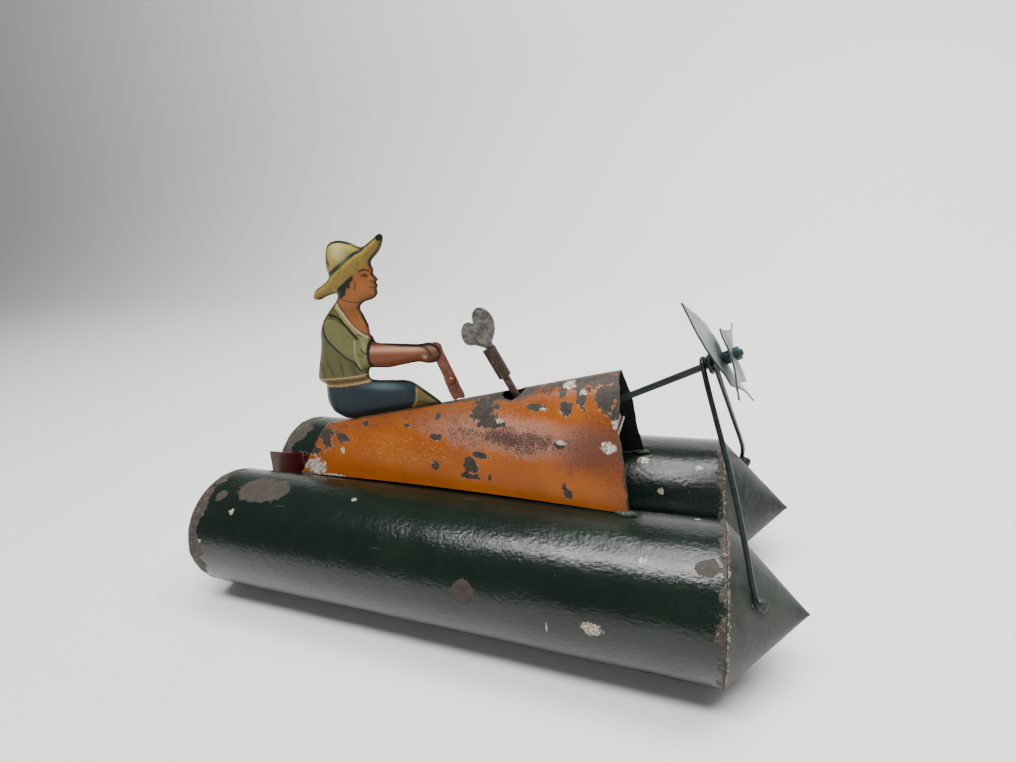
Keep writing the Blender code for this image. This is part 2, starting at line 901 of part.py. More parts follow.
def make_stand(motor):
    """A bent wire: one leg up from each nose cone, and an eye of one and a half turns."""
    bpy.context.view_layer.update()
    into_motor = motor.matrix_world.inverted()
    foot_x = 217 * MM
    foot_angle = math.radians(43)
    radius = FLOAT_RADIUS * (OVERALL_LENGTH - foot_x) / NOSE_LENGTH
    slope = math.atan2(FLOAT_RADIUS, NOSE_LENGTH)
    lift = WIRE_RADIUS + 2 * GAP
    feet = []
    for sign in (-1, 1):
        out = Vector((0, sign * math.sin(foot_angle), math.cos(foot_angle)))
        foot = place(foot_x, sign * FLOAT_SPACING / 2, FLOAT_RADIUS) + out * radius
        foot += (out * math.cos(slope) + Vector((math.sin(slope), 0, 0))) * lift
        feet.append(into_motor @ foot)
    turns = 1.5
    count = 21
    eye = []
    for i in range(count):
        share = i / (count - 1)
        angle = math.pi - share * turns * math.tau
        eye.append(
            Vector(
                (
                    EYE_X + EYE_PITCH * turns * share,
                    EYE_RADIUS * math.cos(angle),
                    EYE_RADIUS * math.sin(angle),
                )
            )
        )
    points = [feet[0], feet[0].lerp(eye[0], 0.5)] + eye
    points += [eye[-1].lerp(feet[1], 0.5), feet[1]]
    wire("propeller_stand", points, WIRE_RADIUS, "dark_rod", parent=motor)


def make_lever():
    strip = 5.2 * MM
    lower = in_mm([(112.6, 79.9), (109.8, 88.8)])
    upper = in_mm([(111.6, 85.2), (106.9, 101.6)])
    for name, line, y in (("lever_bracket", lower, 0.8), ("lever", upper, 0.0)):
        outline = strip_outline([p[:2] for p in line], strip)
        side_plate(name, [outline], 0.5 * MM, y * MM, "lever_enamel")
    rod(
        "lever_rivet",
        1.5 * MM,
        0.55 * MM,
        1.3 * MM,
        "lever_enamel",
        location=place(111 * MM, 0, 87.6 * MM),
        rotation=(math.pi / 2, 0, 0),
    )


DRIVER_OUTLINE = [
    (55.6, 122.2),
    (57.6, 125.2),
    (61.5, 127.2),
    (65.3, 129.8, True),
    (65.3, 133.5),
    (66.2, 138.0),
    (68.6, 142.2),
    (73.5, 143.3),
    (79.0, 142.0),
    (83.0, 140.2),
    (87.8, 142.2),
    (92.0, 144.4),
    (93.1, 142.6),
    (90.5, 138.4),
    (86.0, 134.8, True),
    (86.4, 131.6),
    (85.9, 130.2),
    (87.5, 128.0),
    (86.3, 127.0),
    (86.6, 125.4),
    (85.9, 124.2),
    (85.6, 122.2),
    (83.0, 120.8),
    (78.6, 119.7),
    (76.4, 117.4),
    (77.3, 114.4),
    (78.7, 110.0),
    (78.4, 103.2, True),
    (85.0, 102.8),
    (92.0, 102.6),
    (99.5, 102.4),
    (104.5, 103.0),
    (108.0, 101.4),
    (108.6, 98.0),
    (106.2, 95.4),
    (102.5, 94.6),
    (98.0, 95.1),
    (91.0, 93.9),
    (84.0, 92.6),
    (75.2, 92.4, True),
    (73.2, 88.8, True),
    (75.0, 86.9, True),
    (84.0, 87.0),
    (92.0, 86.9),
    (97.6, 83.6),
    (104.8, 77.9, True),
    (88.8, 74.6, True),
    (62.0, 69.1, True),
    (57.0, 68.2),
    (53.3, 69.2),
    (50.2, 71.8),
    (48.7, 76.0),
    (49.3, 81.0),
    (49.9, 84.2),
    (46.9, 86.6),
    (48.6, 92.0),
    (51.5, 98.5),
    (53.3, 103.5),
    (54.6, 108.0),
    (57.5, 112.8),
    (62.0, 117.0),
    (66.5, 121.0),
    (67.0, 123.6, True),
    (62.0, 122.5),
    (58.0, 121.2),
]


def make_driver():
    """Two pressed halves, back to back, whose hands close round the lever."""
    thickness = DRIVER_HALF - DRIVER_SEAM
    middle = (DRIVER_HALF + DRIVER_SEAM) / 2
    outline = rounded(in_mm(DRIVER_OUTLINE), 2)
    slot = box(
        "lever_slot",
        place(102 * MM, -0.7 * MM, 93 * MM),
        place(112 * MM, 0.7 * MM, 105 * MM),
    )
    for name, sign in (("starboard_driver_half", -1), ("port_driver_half", 1)):
        half = side_plate(name, [outline], thickness, sign * middle, "printed_tin")
        combine(finish(as_mesh(half), "printed_tin"), slot, "DIFFERENCE")


make_float("starboard", -1)
make_float("port", 1)
motor_origin = frame("motor_origin", place(MOTOR_X, 0, MOTOR_Z), (0, -MOTOR_TILT, 0))
make_cowl(motor_origin)
make_deck()
make_rudder()
make_motor_frame(motor_origin)
make_mainspring(motor_origin)
make_great_wheel(motor_origin)
make_key(motor_origin)
make_train(motor_origin)
make_propeller(motor_origin)
make_stand(motor_origin)
make_lever()
make_driver()
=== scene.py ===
import math

import bpy
import numpy as np
from mathutils import Matrix, Vector, geometry


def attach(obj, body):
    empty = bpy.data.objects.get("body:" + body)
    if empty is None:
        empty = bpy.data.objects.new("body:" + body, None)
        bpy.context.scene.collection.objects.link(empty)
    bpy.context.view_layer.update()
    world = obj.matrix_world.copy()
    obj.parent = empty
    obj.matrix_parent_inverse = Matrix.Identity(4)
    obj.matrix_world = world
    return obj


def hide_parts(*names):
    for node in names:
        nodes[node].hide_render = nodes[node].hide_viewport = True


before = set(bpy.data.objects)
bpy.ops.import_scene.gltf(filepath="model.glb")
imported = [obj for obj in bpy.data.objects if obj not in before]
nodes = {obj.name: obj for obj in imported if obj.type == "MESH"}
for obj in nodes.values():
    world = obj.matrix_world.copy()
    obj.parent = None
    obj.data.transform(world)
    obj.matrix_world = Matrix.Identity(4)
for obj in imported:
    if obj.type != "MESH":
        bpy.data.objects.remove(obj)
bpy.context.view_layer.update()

mm = 0.001
sternAt = 117  # the frame's origin, in millimetres from the stern
onRim = 1e-4  # a depth that still counts as the edge of an outline
tilt = math.radians(25)
shaftWay = np.array((math.cos(tilt), 0, math.sin(tilt)))
keyWay = np.array((-math.sin(tilt), 0, math.cos(tilt)))
motorAt = np.array((144.2, 0, 67.25))


def fromStern(points):
    # millimetres from the stern, port and ground to metres in the frame
    return (np.asarray(points, float) - (sternAt, 0, 0)) * mm


def motorPoint(along, across, up):
    # millimetres along the shaft, to port and along the key
    along, across, up = np.broadcast_arrays(along, across, up)
    spot = motorAt + along[..., None] * shaftWay + up[..., None] * keyWay
    return spot + across[..., None] * np.array((0, 1.0, 0))


def wobble(a, b, seed, size=10.0):
    # a smooth bumpy field: a sum of crossing sine waves of falling size
    rng = np.random.default_rng(seed)
    total = 0
    for octave in range(4):
        for _ in range(3):
            angle, phase = rng.uniform(0, math.tau, 2)
            wave = (a * math.cos(angle) + b * math.sin(angle)) * math.tau / size
            total = total + np.sin(wave * 1.9**octave + phase) * 0.5**octave
    return total / 4


def smooth(low, high, value):
    # 0 at low, 1 at high, with no corner at either
    t = np.clip((value - low) / (high - low), 0, 1)
    return t * t * (3 - 2 * t)


def bell(value, middle, width):
    # 1 at the middle, falling to nothing on both sides
    return np.exp(-(((value - middle) / width) ** 2))


def wear(obj, material):
    obj.data.materials.clear()
    obj.data.materials.append(material)
    return obj


def newObject(name, data):
    obj = bpy.data.objects.new(name, data)
    bpy.context.scene.collection.objects.link(obj)
    return obj


def addPiece(name, points, faces, body, look=None, replaced=(), slot=None, sharp=35):
    mesh = bpy.data.meshes.new(name)
    mesh.from_pydata(np.asarray(points, float).tolist(), [], [list(f) for f in faces])
    mesh.update()
    mesh.validate()
    obj = newObject(name, mesh)
    facesOut(mesh)
    mesh.shade_smooth()
    mesh.set_sharp_from_angle(angle=math.radians(sharp))
    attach(obj, body)
    if replaced:
        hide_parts(*replaced)
    return wear(obj, look) if look else obj


def facesOut(mesh):
    # turn every face round if the mesh encloses a negative volume
    spots = np.empty(len(mesh.vertices) * 3, np.float32)
    mesh.vertices.foreach_get("co", spots)
    mesh.calc_loop_triangles()
    corners = np.empty(len(mesh.loop_triangles) * 3, np.int32)
    mesh.loop_triangles.foreach_get("vertices", corners)
    tri = spots.reshape(-1, 3).astype(float)[corners.reshape(-1, 3)]
    if np.einsum("ij,ij->i", tri[:, 0], np.cross(tri[:, 1], tri[:, 2])).sum() < 0:
        mesh.flip_normals()


def quads(rows, columns, closeRows=False, closeColumns=False, start=0):
    # the square faces of a grid of points, row after row
    i = np.arange(rows if closeRows else rows - 1)
    j = np.arange(columns if closeColumns else columns - 1)
    i, j = (part.ravel() for part in np.meshgrid(i, j, indexing="ij"))
    k, m = (i + 1) % rows, (j + 1) % columns
    square = np.stack((i * columns + j, i * columns + m, k * columns + m, k * columns + j))
    return (square.T + start).tolist()


def sheetPiece(name, top, bottom, body, **kind):
    # two grids of the same size, joined all round their edges
    rows, columns = top.shape[:2]
    size = rows * columns
    faces = quads(rows, columns)
    faces += [face[::-1] for face in quads(rows, columns, start=size)]
    index = np.arange(size).reshape(rows, columns)
    edge = np.concatenate((index[0, :-1], index[:-1, -1], index[-1, :0:-1], index[:0:-1, 0]))
    after = np.roll(edge, -1)
    faces += np.stack((after, edge, edge + size, after + size)).T.tolist()
    points = np.concatenate((top.reshape(-1, 3), bottom.reshape(-1, 3)))
    return addPiece(name, points, faces, body, **kind)


def thicken(grid, thickness):
    # the same grid moved along its own normal
    normal = np.cross(np.gradient(grid, axis=0), np.gradient(grid, axis=1))
    normal /= np.maximum(np.linalg.norm(normal, axis=2, keepdims=True), 1e-9)
    return grid - normal * thickness


def ringPiece(name, rings, body, poles=(), **kind):
    # rings of points along a length; poles are the single points that close each end
    rows, columns = rings.shape[:2]
    faces = quads(rows, columns, closeRows=not len(poles), closeColumns=True)
    points = rings.reshape(-1, 3)
    if len(poles):
        size = rows * columns
        j = np.arange(columns)
        k = (j + 1) % columns
        last = (rows - 1) * columns
        faces += np.stack((k, j, np.full(columns, size))).T.tolist()
        faces += np.stack((last + j, last + k, np.full(columns, size + 1))).T.tolist()
        points = np.concatenate((points, np.asarray(poles, float)))
    return addPiece(name, points, faces, body, **kind)


def turnPiece(name, profile, base, way, body, sides=64, rough=None, **kind):
    # a profile of (radius, height) turned about a line; it closes on itself or at two poles
    profile, base, way = (np.asarray(part, float) for part in (profile, base, way))
    side = np.cross(way, (0, 1.0, 0) if abs(way[1]) < 0.9 else (1.0, 0, 0))
    side /= np.linalg.norm(side)
    angle = np.linspace(0, math.tau, sides, endpoint=False)
    around = np.cos(angle)[:, None] * side + np.sin(angle)[:, None] * np.cross(way, side)
    poled = profile[0, 0] == 0
    ringed = profile[1:-1] if poled else profile
    radius, height = (np.repeat(ringed[:, i, None], sides, 1) for i in (0, 1))
    if rough is not None:
        radius, height = rough(radius, height, angle[None, :])
    rings = base + radius[..., None] * around + height[..., None] * way
    poles = fromStern([base + profile[i, 1] * way for i in (0, -1)]) if poled else ()
    return ringPiece(name, fromStern(rings), body, poles, **kind)


def wirePiece(name, path, radius, body, sides=16, **kind):
    # a round bar along a path: each ring is carried on from the last, without twist
    path = np.asarray(path, float)
    way = np.gradient(path, axis=0)
    way /= np.linalg.norm(way, axis=1, keepdims=True)
    side = np.cross(way[0], (0.3, 0.2, 0.9))
    angle = np.linspace(0, math.tau, sides, endpoint=False)
    rings = []
    for spot, along in zip(path, way):
        side = side - along * (side @ along)
        side /= np.linalg.norm(side)
        other = np.cross(along, side)
        turn = np.cos(angle)[:, None] * side + np.sin(angle)[:, None] * other
        rings.append(spot + turn * radius)
    ends = [path[0] - way[0] * radius * 0.4, path[-1] + way[-1] * radius * 0.4]
    return ringPiece(name, fromStern(rings), body, fromStern(ends), **kind)


def curveThrough(points, steps, closed=False):
    # Catmull-Rom: a cubic between each two points, leaning on the points before and after
    points = np.asarray(points, float)
    count = len(points)
    t = (np.arange(steps) / steps)[:, None]
    made = []
    for i in range(count if closed else count - 1):
        near = [i - 1, i, i + 1, i + 2]
        near = [k % count if closed else min(max(k, 0), count - 1) for k in near]
        a, b, c, d = points[near]
        cube = (3 * b - a - 3 * c + d) * t**3
        made.append(0.5 * (2 * b + (c - a) * t + (2 * a - 5 * b + 4 * c - d) * t**2 + cube))
    return np.concatenate(made if closed else made + [points[-1:]])


def spaced(line, gap):
    # points at even steps round a closed line
    ring = np.concatenate((line, line[:1]))
    run = np.concatenate(((0,), np.cumsum(np.linalg.norm(np.diff(ring, axis=0), axis=1))))
    want = np.linspace(0, run[-1], max(int(run[-1] / gap), 8), endpoint=False)
    return np.stack([np.interp(want, run, ring[:, i]) for i in (0, 1)], 1)


def lineDistance(points, a, b):
    # how far each point is from the straight piece between a and b
    way, gap = b - a, points - a
    t = np.clip((gap @ way) / max(way @ way, 1e-12), 0, 1)
    return np.hypot(*(gap - t[:, None] * way).T)


def insideDepth(points, line):
    # signed distance to a closed line: positive inside
    points, line = np.asarray(points, float), np.asarray(line, float)
    best = np.full(len(points), 1e9)
    crossings = np.zeros(len(points), int)
    for a, b in zip(line, np.roll(line, -1, axis=0)):
        best = np.minimum(best, lineDistance(points, a, b))
        if a[1] != b[1]:
            between = (a[1] > points[:, 1]) != (b[1] > points[:, 1])
            reach = (b[0] - a[0]) * (points[:, 1] - a[1]) / (b[1] - a[1]) + a[0]
            crossings += between & (points[:, 0] < reach)
    return np.where(crossings % 2 == 1, best, -best)


def reliefPiece(name, line, gap, front, back, toFrame, body, **kind):
    # a flat outline filled with points, raised on both sides by its own height fields
    rim = spaced(line, gap)
    way = np.roll(rim, -1, axis=0) - np.roll(rim, 1, axis=0)
    way /= np.linalg.norm(way, axis=1, keepdims=True)
    spots = [rim]
    inward = np.stack((-way[:, 1], way[:, 0]), 1)
    if insideDepth(rim[:1] + inward[:1] * 0.05, rim)[0] < 0:
        inward = -inward
    insets = (0.12, 0.3)
    for inset in insets:
        moved = rim + inward * inset
        spots.append(moved[insideDepth(moved, rim) > inset * 0.9])
    low, high = rim.min(0), rim.max(0)
    x, y = np.meshgrid(np.arange(low[0], high[0], gap), np.arange(low[1], high[1], gap))
    x = x + (np.arange(len(x)) % 2 * gap / 2)[:, None]
    filling = np.stack((x.ravel(), y.ravel()), 1)
    spots.append(filling[insideDepth(filling, rim) > max(insets) + gap * 0.45])
    count = len(rim)
    edges = [(i, (i + 1) % count) for i in range(count)]
    spots = [Vector(spot) for spot in np.concatenate(spots)]
    made = geometry.delaunay_2d_cdt(spots, edges, [], 1, 1e-5)
    flat = np.array([tuple(spot) for spot in made[0]])
    faces = [list(face) for face in made[2]]
    depth = np.maximum(insideDepth(flat, rim), 0)
    depth[:count] = 0
    free = depth >= onRim
    other = np.where(free, len(flat) + np.cumsum(free) - 1, np.arange(len(flat)))
    faces += [[int(other[i]) for i in face[::-1]] for face in faces]
    heights = np.concatenate((front(flat, depth), back(flat, depth)[free]))
    every = np.concatenate((flat, flat[free]))
    obj = addPiece(name, toFrame(every[:, 0], every[:, 1], heights), faces, body, **kind)
    return obj, every, np.concatenate((depth, depth[free]))


def paint(obj, colours):
    layer = obj.data.color_attributes.new("print", "FLOAT_COLOR", "POINT")
    full = np.concatenate((colours, np.ones((len(colours), 1))), 1)
    layer.data.foreach_set("color", full.astype(np.float32).ravel())


class Signal:
    # a socket that can be added, multiplied and compared like a number
    def __init__(self, look, socket):
        self.look, self.socket = look, socket

    def __add__(self, other):
        return self.look.sum("ADD", self, other)

    def __sub__(self, other):
        return self.look.sum("SUBTRACT", self, other)

    def __rsub__(self, other):
        return self.look.sum("SUBTRACT", other, self)

    def __mul__(self, other):
        return self.look.sum("MULTIPLY", self, other)

    def __or__(self, other):
        return self.look.sum("MAXIMUM", self, other)

    __radd__ = __add__
    __rmul__ = __mul__

    def rise(self, low, high):
        # 0 below low, 1 above high, smooth between
        inputs = {"Value": self, "From Min": low, "From Max": high}
        made = self.look.node("ShaderNodeMapRange", inputs, interpolation_type="SMOOTHSTEP")
        return Signal(self.look, made.outputs["Result"])


class Look:
    def __init__(self, name):
        self.material = bpy.data.materials.new(name)
        self.material.use_nodes = True
        self.tree = self.material.node_tree
        self.shader = self.tree.nodes["Principled BSDF"]
        spot = Signal(self, self.node("ShaderNodeTexCoord").outputs["Object"])
        # millimetres from the stern, port and ground
        self.spot = self.vector("MULTIPLY_ADD", spot, (1000, 1000, 1000), (sternAt, 0, 0))
        parts = self.node("ShaderNodeSeparateXYZ", {0: self.spot}).outputs
        self.x, self.y, self.z = (Signal(self, part) for part in parts)

    def node(self, kind, inputs=None, **settings):
        made = self.tree.nodes.new(kind)
        for key, value in settings.items():
            setattr(made, key, value)
        for key, value in (inputs or {}).items():
            self.put(made.inputs[key], value)
        return made

    def put(self, socket, value):
        if isinstance(value, Signal):
            self.tree.links.new(value.socket, socket)
        elif socket.type == "RGBA" and len(value) == 3:
            socket.default_value = (*value, 1)
        else:
            socket.default_value = value

    def sum(self, kind, a, b):
        return Signal(self, self.node("ShaderNodeMath", {0: a, 1: b}, operation=kind).outputs[0])

    def vector(self, kind, *inputs, output=0):
        made = self.node("ShaderNodeVectorMath", dict(enumerate(inputs)), operation=kind)
        return Signal(self, made.outputs[output])

    def noise(self, size, detail, rough, shift=0.0, stretch=(1, 1, 1), bend=0.0):
        factor, moved = [s / size for s in stretch], (shift, shift * 1.7, shift * 0.6)
        spot = self.vector("MULTIPLY_ADD", self.spot, factor, moved)
        inputs = {"Vector": spot, "Scale": 1.0, "Detail": detail, "Roughness": rough}
        inputs["Distortion"] = bend
        return Signal(self, self.node("ShaderNodeTexNoise", inputs).outputs[0])

    def mix(self, share, a, b):
        inputs = {0: share, 6: a, 7: b}
        made = self.node("ShaderNodeMix", inputs, data_type="RGBA", clamp_factor=True)
        return Signal(self, made.outputs[2])

    def layered(self, colour, *coats):
        # each coat's colour covers what lies under it, as far as its share reaches
        for share, ink in coats:
            colour = self.mix(share, colour, ink)
        return colour

    def away(self, centre, size):
        # distance from a spot, counted in the patch's own half sizes
        moved = self.vector("SUBTRACT", self.spot, centre)
        moved = self.vector("MULTIPLY", moved, [1 / s for s in size])
        return self.vector("LENGTH", moved, output="Value")

    def patches(self, spots, ragged, amount):
        # above zero inside any of the patches, below zero outside
        found = None
        for spot in spots:
            one = 1.0 - self.away(spot[:3], spot[3:])
            found = one if found is None else found | one
        return found - (ragged - 0.5) * amount * 2

    def printed(self):
        # the colours laid on the piece's own points
        made = self.node("ShaderNodeVertexColor", layer_name="print")
        return Signal(self, made.outputs["Color"])

    def printedShare(self):
        return Signal(self, self.node("ShaderNodeSeparateColor", {0: self.printed()}).outputs[0])

    def done(self, colour, rough, metal=0.0, height=None, strength=0.6, depth=0.1, coat=0.0, shine=0.32):
        finish = {"Base Color": colour, "Roughness": rough, "Metallic": metal}
        finish.update({"Coat Weight": coat, "Specular IOR Level": shine})
        for socket, value in finish.items():
            self.put(self.shader.inputs[socket], value)
        if height is not None:
            inputs = {"Strength": strength, "Distance": depth * mm, "Height": height}
            self.put(self.shader.inputs["Normal"], Signal(self, self.node("ShaderNodeBump", inputs).outputs[0]))
        return self.material


bareTin = (0.038, 0.03, 0.023)
rustBrown = (0.05, 0.022, 0.012)
creamPrimer = (0.46, 0.44, 0.35)

# bare and chipped spots: place, then half size along, across and up
floatWear = {
    "starboard": {
        "worn": [
            (31.6, -31.4, 49.4, 12.2, 7, 4.5), (129.7, -50.5, 33.4, 4.2, 5, 3.8),
            (204.6, -38.3, 47.1, 3.2, 4, 1.6), (13, -36, 47, 3, 3, 2),
        ],
        "pale": [
            (172.4, -51.6, 29.4, 2.9, 4, 2.0), (23, -42.1, 44.7, 1.2, 1.4, 0.9),
            (9, -50, 34, 0.9, 1.2, 0.8), (8, -47, 15, 1.3, 1.5, 1.0),
            (158.4, -51.9, 27, 0.35, 1, 1.6), (186.7, -38.6, 47, 1.6, 1.5, 0.3),
            (77, -31, 49.6, 1.0, 0.9, 0.8), (201.7, -17.6, 48, 1.2, 1, 0.5),
        ],
    },
    "port": {
        "worn": [(6, 20, 48, 7, 8, 5), (150, 45, 42, 4, 5, 3), (60, 50, 30, 5, 4, 3)],
        "pale": [
            (181, 17, 47.7, 2.2, 1.7, 1), (201.4, 15.3, 46.9, 1.5, 1.2, 1),
            (188.1, 7.6, 40.4, 1.3, 1, 1.4), (4, 20, 45, 2, 2, 2), (9, 34, 46, 1.4, 1.4, 1),
        ],
    },
}


def floatLook(side):
    look = Look(side + "BottleGreen")
    ragged = look.noise(3.2, 6, 0.65)
    broad = look.noise(26, 4, 0.6, 3)
    fine = look.noise(0.9, 3, 0.6, 5)
    dusty = look.noise(7, 5, 0.7, 8).rise(0.52, 0.75)
    # the stern rim has lost its paint, and the bow seam is flaking
    rim = (look.x + (look.noise(9, 7, 0.7, 2) - 0.5) * 22).rise(7.6, 7.0)
    seam = (look.x + (look.noise(4, 7, 0.72, 7) - 0.5) * 11).rise(208.3, 208.6)
    brown = look.patches(floatWear[side]["worn"], ragged, 0.75).rise(-0.05, 0.05)
    chips = look.patches(floatWear[side]["pale"], look.noise(1.6, 6, 0.7, 4), 1.5).rise(-0.08, 0.08)
    specks = look.noise(2.4, 4, 0.7, 12).rise(0.72, 0.735)
    bare = (rim | seam) | (brown | specks)
    dull = look.mix(look.noise(2.5, 5, 0.7, 21).rise(0.4, 0.7), bareTin, (0.022, 0.017, 0.012))
    pitted = look.noise(1.1, 4, 0.8, 17).rise(0.56, 0.62) * (rim | seam)
    primer = look.mix(fine.rise(0.45, 0.5), creamPrimer, (0.2, 0.17, 0.12))
    scratch = look.noise(0.5, 2, 0.5, 31, (0.03, 1, 1)).rise(0.69, 0.72)
    scratch = scratch * look.noise(22, 2, 0.5, 33).rise(0.5, 0.62)
    colour = look.layered(
        (0.003, 0.0075, 0.0045),
        (broad.rise(0.35, 0.7), (0.005, 0.012, 0.007)),
        (dusty * 0.5, (0.008, 0.012, 0.008)),
        (bare, dull),
        (pitted * 0.75, (0.2, 0.18, 0.14)),
        (chips, primer),
        (scratch * 0.5, (0.07, 0.08, 0.07)),
    )
    rough = 0.15 + look.noise(12, 5, 0.6, 9) * 0.1 + bare * 0.5 + scratch * 0.2
    height = (
        look.noise(1.3, 4, 0.6, 14, (0.8, 1, 1)) * (0.55 + look.noise(16, 3, 0.5, 16) * 1.3)
        + look.noise(7, 3, 0.5, 15) * 1.3
        + fine * (bare * 0.4 + 0.12)
        - (bare | chips) * 0.8
    )
    return look.done(colour, rough, 0.0, height, 0.8, 0.17, shine=0.42)


def coneLook(side):
    look = Look(side + "DullCone")
    broad = look.noise(14, 5, 0.6, 2)
    edge = (look.x + (look.noise(2.4, 6, 0.75, 3) - 0.5) * 4).rise(210.9, 210.5)
    rust = look.noise(1.2, 5, 0.7, 8).rise(0.45, 0.55)
    colour = look.layered(
        (0.009, 0.014, 0.01),
        (broad.rise(0.35, 0.65), (0.03, 0.036, 0.029)),
        (look.noise(1.8, 4, 0.6, 6, (1, 0.3, 0.3)).rise(0.5, 0.75) * 0.5, (0.06, 0.066, 0.056)),
        (edge, look.mix(rust, (0.21, 0.19, 0.15), rustBrown)),
        (look.noise(1.5, 4, 0.7, 11).rise(0.7, 0.72), (0.1, 0.07, 0.04)),
    )
    height = look.noise(2.2, 5, 0.65, 5) * 1.2 + look.noise(0.5, 3, 0.6) * 0.25 + edge * rust
    return look.done(colour, 0.42 + broad * 0.2 + edge * 0.2, 0.1, height, 0.7, 0.16)


def paintedLook(name, dark, light, rough=0.35, size=5.0, bare=0.66):
    look = Look(name)
    gone = look.noise(size * 0.4, 5, 0.7, 5).rise(bare, bare + 0.02)
    grime = look.noise(size * 1.5, 5, 0.7, 9).rise(0.55, 0.75) * 0.5
    patchy = look.noise(size, 4, 0.6).rise(0.35, 0.7)
    colour = look.layered(dark, (patchy, light), (gone, bareTin), (grime, (0.02, 0.015, 0.012)))
    height = look.noise(0.7, 3, 0.6, 2) * 0.4 + look.noise(3, 3, 0.5, 4) - gone * 0.6
    level = rough + look.noise(2, 4, 0.6, 7) * 0.2 - 0.1 + gone * 0.2
    return look.done(colour, level, gone * 0.4 + 0.1, height, 0.45, 0.07, 0.15)


def steelLook(name, dark, light, rust=0.62):
    look = Look(name)
    spots = look.noise(1.1, 5, 0.75, 4).rise(rust, rust + 0.05)
    colour = look.layered(dark, (look.noise(2.5, 5, 0.65).rise(0.3, 0.7), light), (spots, rustBrown))
    lines = look.noise(0.35, 3, 0.6, 6)
    height = lines * 0.35 + look.noise(0.6, 3, 0.7, 8) * 0.4 - spots * 0.4
    return look.done(colour, 0.34 + lines * 0.2 + spots * 0.35, 0.9 - spots * 0.7, height, 0.4, 0.05)


cowlWear = {
    "bare": [
        (126.2, -5, 78.2, 5.2, 9, 4.6), (129, -9, 74.4, 5.4, 9, 1.5), (120.6, -13, 58.6, 2.9, 9, 3.6),
        (124.6, -12.5, 62.9, 4.3, 9, 1.1), (120.9, -14, 54.6, 3.6, 9, 1.3), (104.7, -9.4, 67.2, 3.0, 9, 1.5),
        (105.1, -13.1, 56.7, 1.7, 9, 1.5), (56.1, -6.9, 61.6, 4.6, 9, 1.7), (68.7, -4.4, 68.2, 1.7, 9, 0.8),
        (105.6, -5.8, 74.2, 1.4, 9, 1.2), (90.9, -6.4, 70.0, 1.6, 9, 0.7), (128.8, -15.6, 54.9, 0.8, 9, 1.2),
        (156.1, -13.6, 69.5, 2.2, 9, 1.6), (158.6, -18.4, 54, 1.5, 9, 2.6), (146.6, -7, 80.9, 4.2, 9, 1.0),
        (158.4, -8.6, 82, 2.2, 9, 2.4), (156.5, -7, 85.5, 1.5, 9, 1.3), (163.4, -7.5, 84.5, 1.6, 9, 3.2),
        (172.5, -7, 85.5, 4.6, 9, 4.2), (176, -9, 81.5, 1.8, 9, 3.4), (47, -7, 62, 4.5, 9, 5.2),
        (40, -9, 55, 3.5, 9, 2.0),
    ],
    "pale": [
        (173, -14.9, 69.9, 2.6, 9, 1.8), (175.6, -12.4, 77.8, 1.9, 9, 1.4), (57.2, -8.9, 57.0, 1.1, 9, 1.4),
        (156.8, -13.4, 70.6, 1.7, 9, 0.8), (132.8, -9, 75.6, 1.6, 9, 0.8), (158.6, -3, 87.9, 2.2, 9, 0.9),
        (150, -7, 80.8, 1.1, 9, 0.5), (164, -7, 86.5, 1.4, 9, 0.7), (41.5, -10.5, 48.8, 5.4, 9, 3.3),
        (53, -11.5, 45.6, 7.5, 9, 0.9), (34, -10, 49, 2.6, 9, 2.2),
    ],
}


